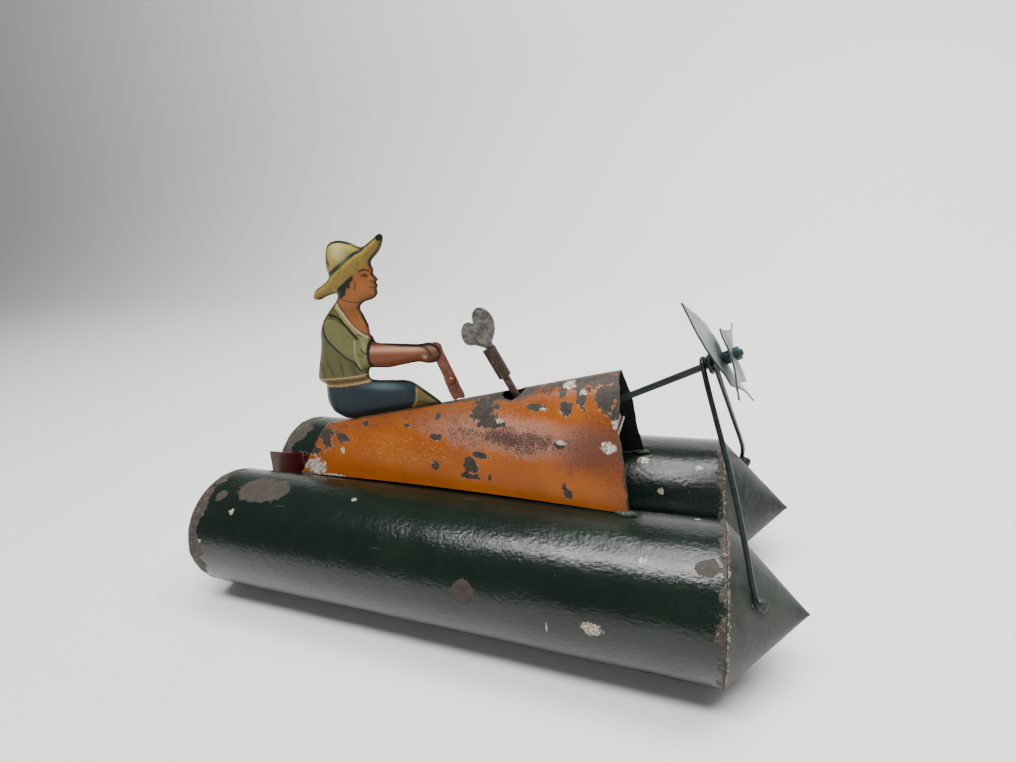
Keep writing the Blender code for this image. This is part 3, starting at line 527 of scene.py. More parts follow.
def cowlLook():
    look = Look("orangeCowl")
    x, y, z = look.x, look.y, look.z
    broad = look.noise(22, 4, 0.6, 1)
    ragged = look.noise(3.4, 8, 0.7, 2)
    near = y.rise(1, -1)
    mottled = look.noise(1.6, 5, 0.7, 6).rise(0.5, 0.8)
    # worn zone along the flank: pink-brown, partly worn paint and partly a painted highlight, with a fine dark
    # stipple
    cloud = look.noise(13, 4, 0.6, 4) - 0.5
    grain = look.noise(0.75, 6, 0.8, 5) - 0.5
    zone = 1.0 - look.away((140, -14, 71.2), (50, 60, 9.4)) + cloud * 0.8
    rubbedAndSheen = (zone * 1.3 + grain * 2.6).rise(0.05, 0.85) * near
    core = 1.0 - look.away((132, -12, 70.2), (46, 60, 8.6)) + cloud * 1.5
    stipple = (core * 0.9 + (look.noise(0.7, 7, 0.84, 9) - 0.5) * 4.0).rise(0.38, 0.85) * near
    brown = 1.0 - look.away((171, -14, 69), (24, 60, 14)) + cloud * 0.8
    brown = (brown + grain * 2.4).rise(0.0, 0.8) * near
    # the front edge is sooty
    lean = (z - 49) * 0.12
    sooty = (x + lean + (broad - 0.5) * 14).rise(165, 184) * (grain * 3 + 0.6).rise(0, 1)
    field = look.patches(cowlWear["bare"], ragged, 1.9)
    bare = field.rise(-0.03, 0.03) * near
    lip = field.rise(-0.2, -0.06) * near
    ridge = look.away((137, 0, 84), (13, 5.4, 5)).rise(1.15, 0.8)
    top = look.away((158, -1, 89.5), (25, 4.2, 4.2)) + (ragged - 0.5) * 4.6
    crest = look.away((117, 0, 80), (20, 1.9, 10)) + (ragged - 0.5) * 1.9
    bare = bare | (ridge * ragged.rise(0.36, 0.42)) | top.rise(1.05, 0.95) | crest.rise(1.0, 0.9)
    bare = bare | (x + lean + (look.noise(2.5, 5, 0.7, 5) - 0.5) * 5).rise(179.6, 180.2)
    far = look.noise(6.5, 7, 0.66, 17).rise(0.615, 0.625) * y.rise(0, 3)
    bare = bare | look.noise(2.1, 5, 0.65, 13).rise(0.705, 0.72) | far
    lip = (lip - bare) | 0.0
    grey = look.mix(look.noise(1.5, 5, 0.7, 15).rise(0.4, 0.6), (0.03, 0.024, 0.019), (0.05, 0.041, 0.032))
    # grime gathers toward the ridge, drawn out along the boat
    upper = (z - 0.206 * (x - 57.5) + look.noise(8, 5, 0.65, 45, (0.4, 1, 1)) * 9).rise(62, 72)
    drawn = look.noise(1.5, 6, 0.75, 47, (0.5, 1, 1)).rise(0.56, 0.62)
    broken = look.noise(1.0, 5, 0.7, 41).rise(0.5, 0.56)
    chips = look.patches(cowlWear["pale"], look.noise(1.8, 7, 0.7, 19), 1.6).rise(-0.06, 0.06) * near
    crumb = look.noise(0.8, 4, 0.7, 23).rise(0.5, 0.56)
    # fine crossed strokes low on the flank: raised in the bump, and painted pale as a painted highlight
    hatchHighlight = look.noise(0.7, 2, 0.5, 27, (0.5, 0.5, 1.6), 1.2).rise(0.58, 0.66)
    hatchHighlight = hatchHighlight * look.away((86, -10, 60.5), (31, 60, 6)).rise(1.1, 0.7) * near
    inner = look.printedShare()
    colour = look.layered(
        (0.27, 0.064, 0.0035),
        (broad.rise(0.3, 0.7), (0.35, 0.092, 0.006)),
        (mottled * 0.5, (0.24, 0.04, 0.004)),
        # pink-brown: worn paint with a painted highlight on it
        (rubbedAndSheen * 0.8, (0.4, 0.19, 0.13)),
        (brown * 0.92, (0.095, 0.034, 0.022)),
        (stipple * 0.95, (0.045, 0.026, 0.022)),
        (sooty * 0.7, (0.07, 0.03, 0.02)),
        (upper * 0.7, (0.15, 0.045, 0.012)),
        (upper * drawn * 0.8, (0.05, 0.026, 0.016)),
        (lip * broken * 0.9, (0.5, 0.42, 0.3)),
        (lip * 0.35, (0.09, 0.03, 0.012)),
        (bare, grey),
        (chips, look.mix(crumb, (0.5, 0.48, 0.4), (0.17, 0.12, 0.08))),
        # painted highlight on the raised strokes
        (hatchHighlight * 0.45, (0.62, 0.3, 0.12)),
        (inner, (0.012, 0.01, 0.008)),
    )
    rough = 0.26 + broad * 0.1 + bare * 0.25 + rubbedAndSheen * 0.14 + inner * 0.3 + stipple * 0.1
    height = (
        look.noise(1.6, 5, 0.62, 29) * 0.9
        + look.noise(7, 3, 0.5, 30) * 1.3
        + hatchHighlight * 0.9
        - stipple * 0.5
        - (bare | chips) * 0.8
    )
    return look.done(colour, rough, bare * 0.1, height, 0.8, 0.16, shine=0.4)


def driverLook():
    look = Look("printedTin")
    specks = look.noise(0.9, 4, 0.7, 3).rise(0.68, 0.71)
    stain = look.noise(3.5, 5, 0.7, 6).rise(0.5, 0.8)
    colour = look.layered(
        look.printed(), (stain * 0.3, (0.09, 0.05, 0.02)), (specks * 0.8, (0.03, 0.018, 0.01))
    )
    rough = 0.26 + look.noise(2.4, 4, 0.6, 8) * 0.16 + specks * 0.2
    height = look.noise(0.8, 3, 0.6, 9) * 0.5 + look.noise(3, 3, 0.5, 11) - specks * 0.5
    return look.done(colour, rough, 0.0, height, 0.4, 0.06, shine=0.2)


def tinLeafLook(name, hub):
    look = Look(name)
    teal = (look.away(hub, (9, 9, 9)) + (look.noise(3, 4, 0.6, 4) - 0.5)).rise(1.3, 0.4)
    colour = look.layered(
        (0.2, 0.24, 0.215),
        (look.noise(5, 4, 0.6).rise(0.3, 0.7), (0.29, 0.33, 0.3)),
        (teal * 0.75, (0.022, 0.07, 0.075)),
        # painted shade: the long edges of the leaf are painted dark
        (look.printedShare(), (0.012, 0.02, 0.022)),
        (look.noise(0.8, 4, 0.7, 7).rise(0.66, 0.7) * 0.6, (0.08, 0.08, 0.06)),
    )
    height = look.noise(1.2, 3, 0.6, 8) + look.noise(5, 3, 0.5, 9)
    return look.done(colour, 0.4 + look.noise(2, 4, 0.6, 5) * 0.2, 0.1, height, 0.4, 0.06)


def solderMix():
    look = Look("paintedSolder")
    colour = look.layered(
        (0.012, 0.02, 0.015),
        (look.noise(1.4, 5, 0.7).rise(0.38, 0.62), (0.03, 0.035, 0.028)),
        (look.noise(0.8, 4, 0.7, 4).rise(0.58, 0.66), (0.24, 0.22, 0.17)),
    )
    rough = 0.45 + look.noise(1, 3, 0.6, 8) * 0.3
    return look.done(colour, rough, 0.2, look.noise(0.9, 4, 0.65, 6), 0.6, 0.15)


rodLook = paintedLook("darkRod", (0.008, 0.014, 0.013), (0.016, 0.026, 0.024), 0.3, 3)
solderLook = solderMix()
print("looks made")

dimFloat = {"radius": 25.0, "tube": 209.9, "roll": 2.0, "bend": 3.0, "wall": 0.4, "apart": 27.0}
# stern cap: (radius, height) out from its middle, over the pressed step and back
capProfile = [
    (0, 1.6), (1, 1.6), (6, 1.6), (12, 1.6), (17.6, 1.6), (18.3, 1.4), (18.9, 0.7), (19.5, 0.45),
    (21.6, 0.4), (21.8, 0.8), (21.85, 3.9), (22.2, 3.9), (22.2, 0.5), (22.0, 0.1), (21.6, 0.0),
    (19.3, 0.0), (18.6, 0.3), (18.0, 1.0), (17.5, 1.2), (12, 1.2), (6, 1.2), (1, 1.2), (0, 1.2),
]


def buildFloat(side, sign):
    d = dimFloat
    r = d["radius"]
    turn = np.linspace(math.pi / 2, 0, 7)
    run = np.concatenate((np.linspace(4, 200, 99), np.linspace(201, 209.4, 13)))
    outer = [(r - d["roll"] * (1 - math.cos(a)), d["bend"] * (1 - math.sin(a))) for a in turn]
    outer += [(r, x) for x in run] + [(r - 0.05, d["tube"])]
    skin = outer + [(radius - d["wall"], x) for radius, x in outer[::-1]]
    nose = [(0, 234.0), (0.35, 233.85)]
    nose += [(r - (x - 210) * r / 24, x) for x in np.linspace(233.2, 210.4, 26)]
    nose += [(25.05, 210.0), (24.6, 209.95), (24.3, 210.3), (12, 222.1), (0.6, 232.9), (0, 233.1)]

    def dented(radius, height, angle):
        # slow dents in the skin, and a beaten lip at each end
        seed = 11 if sign < 0 else 12
        dents = wobble(height, angle * r, seed, 42) * 0.09 - 0.05
        lip = smooth(7, 1, height) * (np.abs(wobble(height, angle * r, seed + 5, 22)) - 1) * 0.5
        bow = smooth(206, 209.6, height) * wobble(height, angle * r, seed + 9, 5) * 0.12
        return radius + np.minimum(dents, 0.0) + np.minimum(lip + bow, 0.02), height

    def dished(radius, height, angle):
        return radius, height + wobble(radius * np.cos(angle), radius * np.sin(angle), 3, 18) * 0.12

    def beaten(radius, height, angle):
        # the seam at the cone's base is uneven, and its skin is a little faceted by hand
        base = smooth(213, 210, height)
        edge = base * np.abs(wobble(angle * r, height, 31 + sign, 6)) * 0.22
        skin = wobble(height * 1.5, angle * 14, 33 + sign, 13) * 0.12 * (1 - base)
        back = base * np.abs(wobble(angle * r, height, 37 + sign, 4)) * 0.12
        return radius + edge + skin * smooth(0.5, 5, radius), height + back

    green = floatLook(side)
    for name, profile, sides, rough, look, cad, slot, sharp in (
        ("FloatSkin", skin, 144, dented, green, "_float_tube", "green_enamel", 35),
        ("SternCap", capProfile, 96, dished, green, "_stern_cap", "green_enamel", 35),
        ("NoseCone", nose, 128, beaten, coneLook(side), "_nose_cone", "green_matt", 60),
    ):
        turnPiece(side + name, profile, (0, d["apart"] * sign, r), (1, 0, 0), "hull", sides, rough,
                  look=look, replaced=[side + cad], slot=slot, sharp=sharp)


for side, sign in (("starboard", -1), ("port", 1)):
    buildFloat(side, sign)
print("floats made")

dimCowl = {"rear": 32.0, "front": 180.6, "leanRear": 13.0, "leanFront": 5.1, "tin": 0.4,
           "ridgeRear": 65.13, "ridgeFront": 92.05, "halfRear": 10.5, "halfFront": 20.8}


def floatTop(y):
    # height of the floats' skin at a distance from the middle line
    r, apart = dimFloat["radius"], dimFloat["apart"]
    return r + np.sqrt(np.maximum(r * r - (apart - np.abs(y)) ** 2, 0))


def buildCowl():
    # a bent sheet: its section is a steep rounded arch that widens toward the bow
    d = dimCowl
    share = np.linspace(0, 1, 150)[:, None]
    across = -np.cos(np.linspace(0, math.pi, 121))[None, :]
    width = d["halfRear"] + share * (d["halfFront"] - d["halfRear"])
    bottom = floatTop(width) + 0.4 + 0.7 * np.sin(math.pi * share)
    ridge = d["ridgeRear"] + share * (d["ridgeFront"] - d["ridgeRear"])
    near = across < 0
    power = np.where(near, 2.2 - 0.4 * smooth(0.8, 1, share), 2.2 + 0.25 * smooth(0.5, 1, share))
    rise = 1 - np.abs(across) ** power
    y = width * across
    z = bottom + (ridge - bottom) * rise
    y = y + bell(share, 1.0, 0.08) * bell(z, 73, 7) * near * 0.9
    y = y + 0.14 * wobble(share * 150, z, 5, 30) * (1 - np.abs(across) ** 6)
    # the front edge is torn and bent forward in places
    edge = wobble(z, y * 0.5, 8, 16) * 0.45 + wobble(z, y, 9, 5) * 0.16
    torn = edge - np.where(near, bell(z, 76, 5) * 1.3, 0)
    front = d["front"] - d["leanFront"] * rise + torn * smooth(0.93, 1, share)
    rear = d["rear"] + d["leanRear"] * rise
    outer = np.stack(np.broadcast_arrays(rear + share * (front - rear), y, z), 2)
    inner = thicken(outer, -d["tin"])
    if np.abs(inner[75, 20, 1]) > np.abs(outer[75, 20, 1]):
        inner = thicken(outer, d["tin"])
    inner[:, (0, -1), 2] = outer[:, (0, -1), 2]
    cowl = sheetPiece("cowlSkin", fromStern(outer), fromStern(inner), "hull",
                      replaced=["cowl"], slot="orange_enamel", sharp=50)
    dark = np.zeros((len(cowl.data.vertices), 3))
    dark[outer[..., 0].size :] = 1
    paint(cowl, dark)
    punchHole(cowl)
    wear(cowl, cowlLook())


def punchHole(cowl):
    # the key's hole, cut square to the key
    count = 48
    angle = np.linspace(0, math.tau, count, endpoint=False)
    radius = 4.5 + 0.12 * np.sin(angle * 3 + 1) + 0.08 * np.sin(angle * 7)
    along, across = radius * np.cos(angle), radius * np.sin(angle)
    rings = [fromStern(motorPoint(along, across, np.full(count, up))) for up in (8.0, 28.0)]
    mesh = bpy.data.meshes.new("punch")
    faces = quads(2, count, closeColumns=True)
    faces += [list(range(count)), list(range(2 * count - 1, count - 1, -1))]
    mesh.from_pydata(np.concatenate(rings).tolist(), [], faces)
    facesOut(mesh)
    punch = newObject("punch", mesh)
    cut = cowl.modifiers.new("keyHole", "BOOLEAN")
    cut.operation = "DIFFERENCE"
    cut.object = punch
    graph = bpy.context.evaluated_depsgraph_get()
    made = bpy.data.meshes.new_from_object(cowl.evaluated_get(graph))
    cowl.modifiers.clear()
    cowl.data = made
    bpy.data.objects.remove(punch)


buildCowl()
wear(nodes["tail_plate"], paintedLook("tailPlate", (0.2, 0.05, 0.008), (0.34, 0.09, 0.01), 0.4))
print("cowl made")

# the driver: two pressed halves with printed clothes

outline = [
    (55.6, 122.2), (57.6, 125.2), (61.5, 127.2), (65.3, 129.8), (65.3, 133.5), (66.2, 138.0),
    (68.6, 142.2), (73.5, 143.3), (79.0, 142.0), (83.0, 140.2), (87.8, 142.2), (92.0, 144.4),
    (93.1, 142.6), (90.5, 138.4), (86.0, 134.8), (86.3, 131.8), (85.9, 130.2), (87.4, 128.1),
    (86.4, 127.1), (86.7, 125.6), (86.0, 124.6), (85.8, 122.6), (83.4, 120.8), (78.8, 119.6),
    (76.4, 117.4), (77.3, 114.4), (78.7, 110.0), (78.5, 103.6), (80.5, 102.9), (85.0, 102.8),
    (92.0, 102.6), (99.5, 102.4), (104.5, 103.0), (108.0, 101.4), (108.6, 98.0), (106.2, 95.4),
    (102.5, 94.6), (98.0, 95.1), (91.0, 93.9), (84.0, 92.6), (76.0, 92.4), (74.2, 91.6),
    (73.2, 88.8), (75.0, 87.0), (84.0, 87.0), (92.0, 86.9), (97.6, 83.6), (104.8, 77.9),
]
seat = [(x, 67.75 + 0.206 * (x - 57.5) + 0.08) for x in (103, 96, 88, 80, 72, 64, 59.5)]
seat += [(56.0, 68.5), (53.3, 69.6), (50.2, 71.8), (48.7, 76.0), (49.3, 81.0), (49.9, 84.2)]
seat += [(46.9, 86.6), (48.6, 92.0), (51.5, 98.5), (53.3, 103.5), (54.6, 108.0), (57.5, 112.8)]
seat += [(62.0, 117.0), (66.5, 121.0), (67.0, 123.4), (62.0, 122.5), (58.0, 121.2)]
farSeat = [(78.7, 110.0), (77.6, 107.9), (79.2, 105.6), (80.4, 103.2)]
shoulderFlap = outline[:27] + farSeat + outline[29:]

areas = {
    "crown": [(65.4, 130), (65.3, 134), (66.4, 139), (69, 142.6), (74, 143.6), (80, 142), (84, 140),
        (80.9, 138.6), (76.3, 136.8), (71.4, 134.2)],
    "band": [(65.0, 131.4), (68.6, 132.9), (71.4, 134.6), (76.3, 137.2), (80.9, 139.2), (84.6, 140.0),
        (84.2, 138.9), (80.5, 137.7), (76.0, 135.4), (71.8, 132.9), (68.2, 130.9), (65.0, 129.6)],
    "brim": [(54, 121), (57.6, 125.6), (61.5, 127.8), (65.3, 130.2), (69.5, 132.0), (73.8, 134.6),
        (78.5, 137.0), (84, 139.6), (87.8, 142.8), (92.0, 145.4), (94, 143), (91, 138),
        (86.2, 134.6), (81.7, 132.5), (74.6, 129.0), (69.4, 125.8), (67.2, 123.6), (61.9, 122.2),
        (57, 120.4)],
    "hair": [(66.8, 123.4), (70, 126.2), (74.6, 129.0), (78.2, 130.9), (77.4, 128.8), (75.6, 127.4),
        (75.6, 125.6), (73.4, 125.4), (72.2, 122.9), (69.6, 121.6), (67.6, 122.0)],
    "skin": [(66, 124), (74, 129), (88, 136), (92, 128), (88, 120), (80, 118), (79.2, 112), (79.6, 105),
        (75.5, 107.0), (71.5, 111.6), (66.9, 118.8), (64.0, 121.6)],
    "collar": [(65.6, 121.0), (68.0, 119.8), (71.8, 112.2), (75.6, 107.4), (79.2, 104.6), (79.2, 101),
        (73.0, 106.2), (69.0, 111.0), (66.0, 116.6), (63.6, 119.2)],
    "sleeve": [(60.6, 113.9), (64.2, 113.6), (68.4, 110.6), (71.8, 105.8), (73.6, 103), (71.5, 97),
        (69.4, 93.6), (66.4, 95.4), (61.8, 99.8), (58.6, 103.8), (57.0, 108.5), (57.8, 112.2)],
    "cuff": [(73.6, 107.0), (77.2, 106.0), (79.3, 103.4), (77.4, 99.0), (76.4, 94.4), (74.2, 92.0),
        (70.4, 92.6), (69.6, 96.8), (70.8, 102.4)],
    "arm": [(77.6, 103.6), (79.5, 105), (112, 106), (112, 92), (90, 92), (80, 91.6), (75.6, 92.4),
        (77.2, 97.8)],
    "belt": [(48, 86.5), (51.5, 86.9), (63.0, 87.9), (74.6, 89.6), (73.4, 86.4), (62.1, 84.4),
        (51.1, 84.0), (48, 83)],
    "trousers": [(45, 84.4), (51.1, 84.3), (62.1, 84.9), (73.0, 86.7), (78, 88.6), (92, 88.8),
        (95.4, 85.2), (95.0, 80.4), (93.6, 77.9), (91.4, 75.3), (92, 60), (45, 60)],
    "boot": [(94.8, 86), (95.2, 80.6), (93.6, 77.8), (91, 75), (92, 70), (110, 74), (107, 79), (97, 88)],
}
inks = {
    "crown": (0.32, 0.255, 0.05), "band": (0.016, 0.026, 0.032), "brim": (0.3, 0.225, 0.04),
    "hair": (0.012, 0.014, 0.013), "skin": (0.28, 0.1, 0.026), "collar": (0.26, 0.21, 0.08),
    "shirt": (0.1, 0.096, 0.032), "sleeve": (0.15, 0.148, 0.052), "cuff": (0.17, 0.165, 0.055),
    "arm": (0.18, 0.056, 0.021), "belt": (0.14, 0.1, 0.032), "trousers": (0.006, 0.018, 0.027),
    "boot": (0.1, 0.078, 0.03), "black": (0.006, 0.006, 0.005),
}


def glow(points, x, z, wide, high):
    # a soft oval spot on the print
    return bell(points[:, 0], x, wide) * bell(points[:, 1], z, high)


def printAndShadeAt(points, depth, far):
    # the printed colour at each point of a half, laid on coat by coat, with painted shade on the far half above
    # the arm
    x, z = points[:, 0], points[:, 1]
    colour = np.tile(inks["shirt"], (len(points), 1)).astype(float)
    fold = smooth(0.55, 0.95, np.sin(x * 1.15 + wobble(x, z, 21, 16) * 2) * 0.5 + 0.5)
    fold = fold * smooth(100, 93, z) * smooth(86, 90, z)
    colour = colour * (1 - 0.35 * fold[:, None])
    found = {name: insideDepth(points, line) for name, line in areas.items()}
    within = {name: smooth(-0.16, 0.16, found[name]) for name in areas}

    def over(ink, share):
        nonlocal colour
        share = np.clip(share, 0, 1)[:, None]
        colour = colour * (1 - share) + np.asarray(ink) * share

    def stroke(line, width, strength=1.0, ink=inks["black"]):
        line = curveThrough(line, 6)
        width = width * np.where(z > 119.2, 1.25, 1.9)
        near = np.min([lineDistance(points, a, b) for a, b in zip(line[:-1], line[1:])], axis=0)
        over(ink, smooth(width + 0.14, width - 0.1, near) * strength)

    order = ("skin", "collar", "sleeve", "trousers", "belt", "boot", "cuff", "arm", "hair")
    for name in order + ("crown", "brim", "band"):
        over(inks[name], within[name])
        if name in ("sleeve", "cuff", "collar"):
            over((0.03, 0.028, 0.014), smooth(0.42, 0.1, np.abs(found[name])) * 0.8)
    blotch = smooth(0.1, 0.4, wobble(x, z, 61, 2.6)) * smooth(-0.2, 0.3, wobble(x, z, 62, 9))
    back = smooth(112, 104, z) * smooth(86, 90, z) * smooth(76, 72, x)
    brimRun = (z - 121.5) - (x - 56) * 0.56
    brimLight = smooth(3.0, 4.2, brimRun) * smooth(6.4, 4.6, brimRun)
    # light and shade printed into the flat colours
    for ink, share in (
        ((0.12, 0.07, 0.02), within["brim"] * blotch * 0.75),
        ((0.07, 0.06, 0.02), back * blotch * 0.5),
        ((0.6, 0.56, 0.3), glow(points, 73, 139, 3.2, 3) * 0.75),
        ((0.1, 0.06, 0.02), glow(points, 67, 136.4, 0.9, 2.6) * 0.9),
        ((0.02, 0.03, 0.034), glow(points, 67.6, 135.2, 0.7, 1.1) * 0.8),
        ((0.5, 0.46, 0.2), within["brim"] * brimLight * 0.5),
        ((0.2, 0.13, 0.035), within["brim"] * smooth(2.2, 0.4, brimRun) * 0.7),
        ((0.12, 0.17, 0.17), glow(points, 80, 84.6, 9, 1.4) * 0.75),
        ((0.004, 0.009, 0.014), within["trousers"] * smooth(78, 70, z - (x - 60) * 0.15) * 0.7),
        ((0.52, 0.3, 0.21), within["arm"] * bell(z - 0.02 * (x - 90), 100.6, 1.15) * 0.7),
        ((0.09, 0.035, 0.02), within["arm"] * smooth(96, 108, x) * 0.75),
        ((0.34, 0.3, 0.17), glow(points, 75.4, 101.5, 1.0, 3.2) * 0.5),
        ((0.12, 0.04, 0.014), within["skin"] * smooth(119.4, 117.4, z) * smooth(112, 116, z) * 0.35),
        ((0.5, 0.42, 0.34), glow(points, 102.2, 97.6, 0.8, 0.8) * 0.75),
        ((0.44, 0.13, 0.04), within["skin"] * glow(points, 81.4, 125.8, 1.7, 1.3) * 0.5),
    ):
        over(ink, share)
    # a calm, plain profile
    stroke([(67.2, 123.0), (71, 121.0), (75.4, 119.9), (79.2, 119.7)], 0.14, 0.8)
    stroke([(81.0, 131.5), (82.4, 132.1), (84.0, 132.0), (84.8, 131.7)], 0.24, 0.9)
    stroke([(81.5, 129.9), (82.6, 130.5), (83.8, 130.2), (84.3, 129.9)], 0.17)
    stroke([(81.8, 129.7), (82.9, 129.4), (84.1, 129.6)], 0.1, 0.6)
    over((0.012, 0.01, 0.008), smooth(0.5, 0.34, np.hypot(x - 83.1, z - 129.95)))
    for line in (
        ([(85.0, 128.0), (85.4, 127.2), (86.2, 127.1)], 0.14, 0.8),
        ([(84.2, 125.3), (85.2, 125.45), (86.3, 125.4)], 0.17, 1, (0.12, 0.02, 0.012)),
        ([(84.6, 124.3), (85.4, 124.2)], 0.12, 0.7, (0.16, 0.05, 0.02)),
        ([(76.4, 128.2), (77.5, 128.6), (78.3, 127.6), (77.9, 126.0), (76.9, 124.9)], 0.15, 0.7),
        ([(77.0, 127.4), (77.5, 126.6), (77.1, 125.8)], 0.11, 0.55),
        # collar, sleeve, cuff, belt and boot
        ([(65.2, 120.6), (67.8, 117.4), (71.2, 111.9), (75.6, 107.2), (78.8, 104.8)], 0.22, 0.8,
         (0.5, 0.42, 0.24)),
        ([(66.6, 121.2), (69.3, 117.0), (73.0, 110.6), (77.4, 106.9)], 0.12, 0.8, (0.06, 0.025, 0.012)),
        ([(57.0, 110.0), (57.8, 105.4), (61.2, 101.0), (65.3, 97.2), (68.4, 95.4), (71, 91.8)], 0.3),
        ([(61, 115.2), (65.4, 114.4), (69.4, 110.4), (71.8, 106.6), (73.4, 105.2)], 0.26),
        ([(56.6, 112), (60, 115.8), (62.6, 117.4)], 0.2, 0.8),
        ([(71.6, 104.6), (70.6, 100.4), (70.2, 96.4), (71.4, 92.6)], 0.22, 0.8, (0.3, 0.3, 0.16)),
        ([(77.9, 103.4), (76.6, 99.0), (76.2, 95.0), (77.2, 92.4)], 0.34),
        ([(73.8, 101.0), (74.8, 99.0), (76.0, 99.4)], 0.2, 0.8),
        ([(72.0, 98.8), (73.6, 97.4)], 0.18, 0.6),
        ([(48, 86.9), (56, 87.5), (66, 88.6), (73.8, 89.8)], 0.15, 1, (0.42, 0.3, 0.13)),
        ([(50, 84.1), (58, 84.3), (66, 85.4), (73.4, 86.7)], 0.2, 1, (0.36, 0.22, 0.08)),
        ([(50, 85.5), (58, 85.8), (66, 86.9), (73.0, 88.2)], 0.13, 1, (0.07, 0.03, 0.012)),
        ([(95.4, 85.0), (95.1, 80.8), (93.8, 78.0), (91.4, 75.4)], 0.24, 0.8, (0.24, 0.15, 0.06)),
        ([(100.0, 102.0), (103.6, 101.0), (105.2, 98.4)], 0.3, 0.7),
    ):
        stroke(*line)
    # ink runs black round the pressed edge; on the far half, the black above the arm is painted shade
    hand = smooth(86, 92, x) * smooth(98, 100, z) * smooth(110, 106, z)
    inkAndShade = [
        smooth(1.15, 0.4, depth) * (0.65 + 0.4 * smooth(-0.4, 0.4, wobble(x, z, 4, 12))),
        smooth(1.3, 0.7, depth) * hand,
        smooth(1.1, 0.5, depth) * smooth(139, 142, z - 0.1 * (x - 74)),
        smooth(1.0, 0.5, depth) * smooth(96, 98, x) * smooth(90, 84, z),
        smooth(2.4, 1.6, np.hypot(x - 92.4, z - 143.8)),
        smooth(0.8, 0.3, depth) * smooth(52.5, 50, x) * smooth(86, 80, z),
    ]
    # painted shade: the far half's inside, seen above the arm, is painted black
    if far:
        inkAndShade.append(smooth(2.6, 1.4, depth) * smooth(76, 78, x) * smooth(102, 104, z))
    over(inks["black"], np.max(inkAndShade, axis=0))
    return np.clip(colour, 0, 1)


def pressed(flat, depth):
    # the edge is a flat flange; inside it the tin is puffed, with creases pressed in
    x, z = flat[:, 0], flat[:, 1]
    names = ("band", "brim", "cuff", "sleeve")
    band, brim, cuff, sleeve = (insideDepth(flat, areas[name]) for name in names)
    puff = 0.35 + 1.5 * (1 - np.exp(-((depth / 1.7) ** 1.6))) - 0.28 * bell(band, 0, 0.9)
    puff = puff + 0.22 * smooth(-0.2, 1.2, brim) + 0.25 * smooth(-0.2, 1.4, cuff)
    puff = puff + 0.18 * smooth(-0.2, 1.6, sleeve)
    puff = puff - 0.3 * bell(z - 0.06 * (x - 50), 85.6, 0.7) * (x < 75)
    puff = puff + 0.03 * wobble(x, z, 6, 7)
    return np.where(depth > onRim, np.clip(puff, 0.15, 2.15), 0.15)


look = driverLook()
for side, sign, front in (("starboard", -1, outline), ("port", 1, shoulderFlap)):
    half, spots, depth = reliefPiece(
        side + "DriverHalf",
        curveThrough(front + seat, 5, True),
        0.36,
        pressed,
        lambda flat, depth: np.where(depth > onRim, 0.06, 0.15),
        lambda x, z, out: fromStern(np.stack((x, sign * out, z), 1)),
        "hull", look=look, replaced=[side + "_driver_half"], slot="printed_tin", sharp=70,
    )
    paint(half, printAndShadeAt(spots, depth, sign > 0))
print("driver made")


def slabEdge(half, bend):
    # a rounded edge: the half thickness follows a quarter circle
    def height(flat, depth):
        t = np.clip(depth / bend, 0, 1)
        return half * (0.25 + 0.75 * np.sqrt(np.maximum(1 - (1 - t) ** 2, 0)))

    return height


def slabPiece(name, line, gap, face, rim, toFrame, body, **kind):
    # a flat plate: the same face on both sides, meeting at the rim's height
    def back(flat, depth):
        return np.where(depth > onRim, -face(flat, depth), rim)

    reliefPiece(name, curveThrough(line, 6, True), gap, face, back, toFrame, body, **kind)


lever = {
    "half": 0.28,
    "bend": 0.35,
    "foot": [(115.4, 80.8), (112.4, 88.6), (111.0, 90.4), (108.6, 90.2), (107.4, 88.0), (107.9, 85.4),
             (109.9, 79.2), (112.6, 79.6)],
    "arm": [(114.0, 85.9), (113.6, 88.4), (109.9, 99.0), (109.2, 102.2), (107.0, 103.3), (104.6, 102.2),
            (104.5, 99.6), (108.2, 88.0), (109.2, 85.4), (111.8, 84.3)],
    "rivet": [(0, 1.9), (0.6, 1.8), (1.2, 1.5), (1.7, 0.95), (1.85, 0.4), (1.8, 0.28), (0.7, -0.7),
              (0, -0.75)],
}
enamel = {"look": paintedLook("leverPaint", (0.1, 0.024, 0.008), (0.2, 0.05, 0.013), 0.38, 3, 0.6),
          "slot": "lever_enamel"}
for name, line, middle, cad in (("leverFoot", "foot", 0.8, "lever_bracket"), ("leverArm", "arm", 0.0, "lever")):
    slabPiece(name, lever[line], 0.4, slabEdge(lever["half"], lever["bend"]), lever["half"] * 0.25,
              lambda x, z, out: fromStern(np.stack((x, middle - out, z), 1)), "hull",
              replaced=[cad], **enamel)
turnPiece("leverRivet", lever["rivet"], (111, 0, 87.4), (0, -1, 0), "hull", 32,
          replaced=["lever_rivet"], **enamel)

rudder = {
    "half": 0.3,
    "pin": 25.8,
    "knuckles": (("lower", 9.9, 41.7), ("upper", 43.8, 47.4)),
    "blade": [(24.6, 47.3), (18, 47.4), (5.0, 47.3), (3.6, 46.6), (2.6, 41.0), (1.5, 35.6), (2.2, 34.2),
              (8.0, 32.4), (13.0, 30.4), (14.4, 26), (15, 14), (17.3, 10.6), (21, 10.1), (24.6, 10.2),
              (24.9, 28)],
}
enamel = {"look": paintedLook("maroonPaint", (0.055, 0.004, 0.004), (0.09, 0.008, 0.007), 0.36, 6, 0.67),
          "slot": "maroon_enamel"}
slabPiece("rudderBlade", rudder["blade"], 0.7, slabEdge(rudder["half"], 0.3), rudder["half"] * 0.25,
          lambda x, z, out: fromStern(np.stack((x, -out + 0.12 * np.sin(z / 9) * (x < 20), z), 1)),
          "rudder", replaced=["rudder_blade"], **enamel)
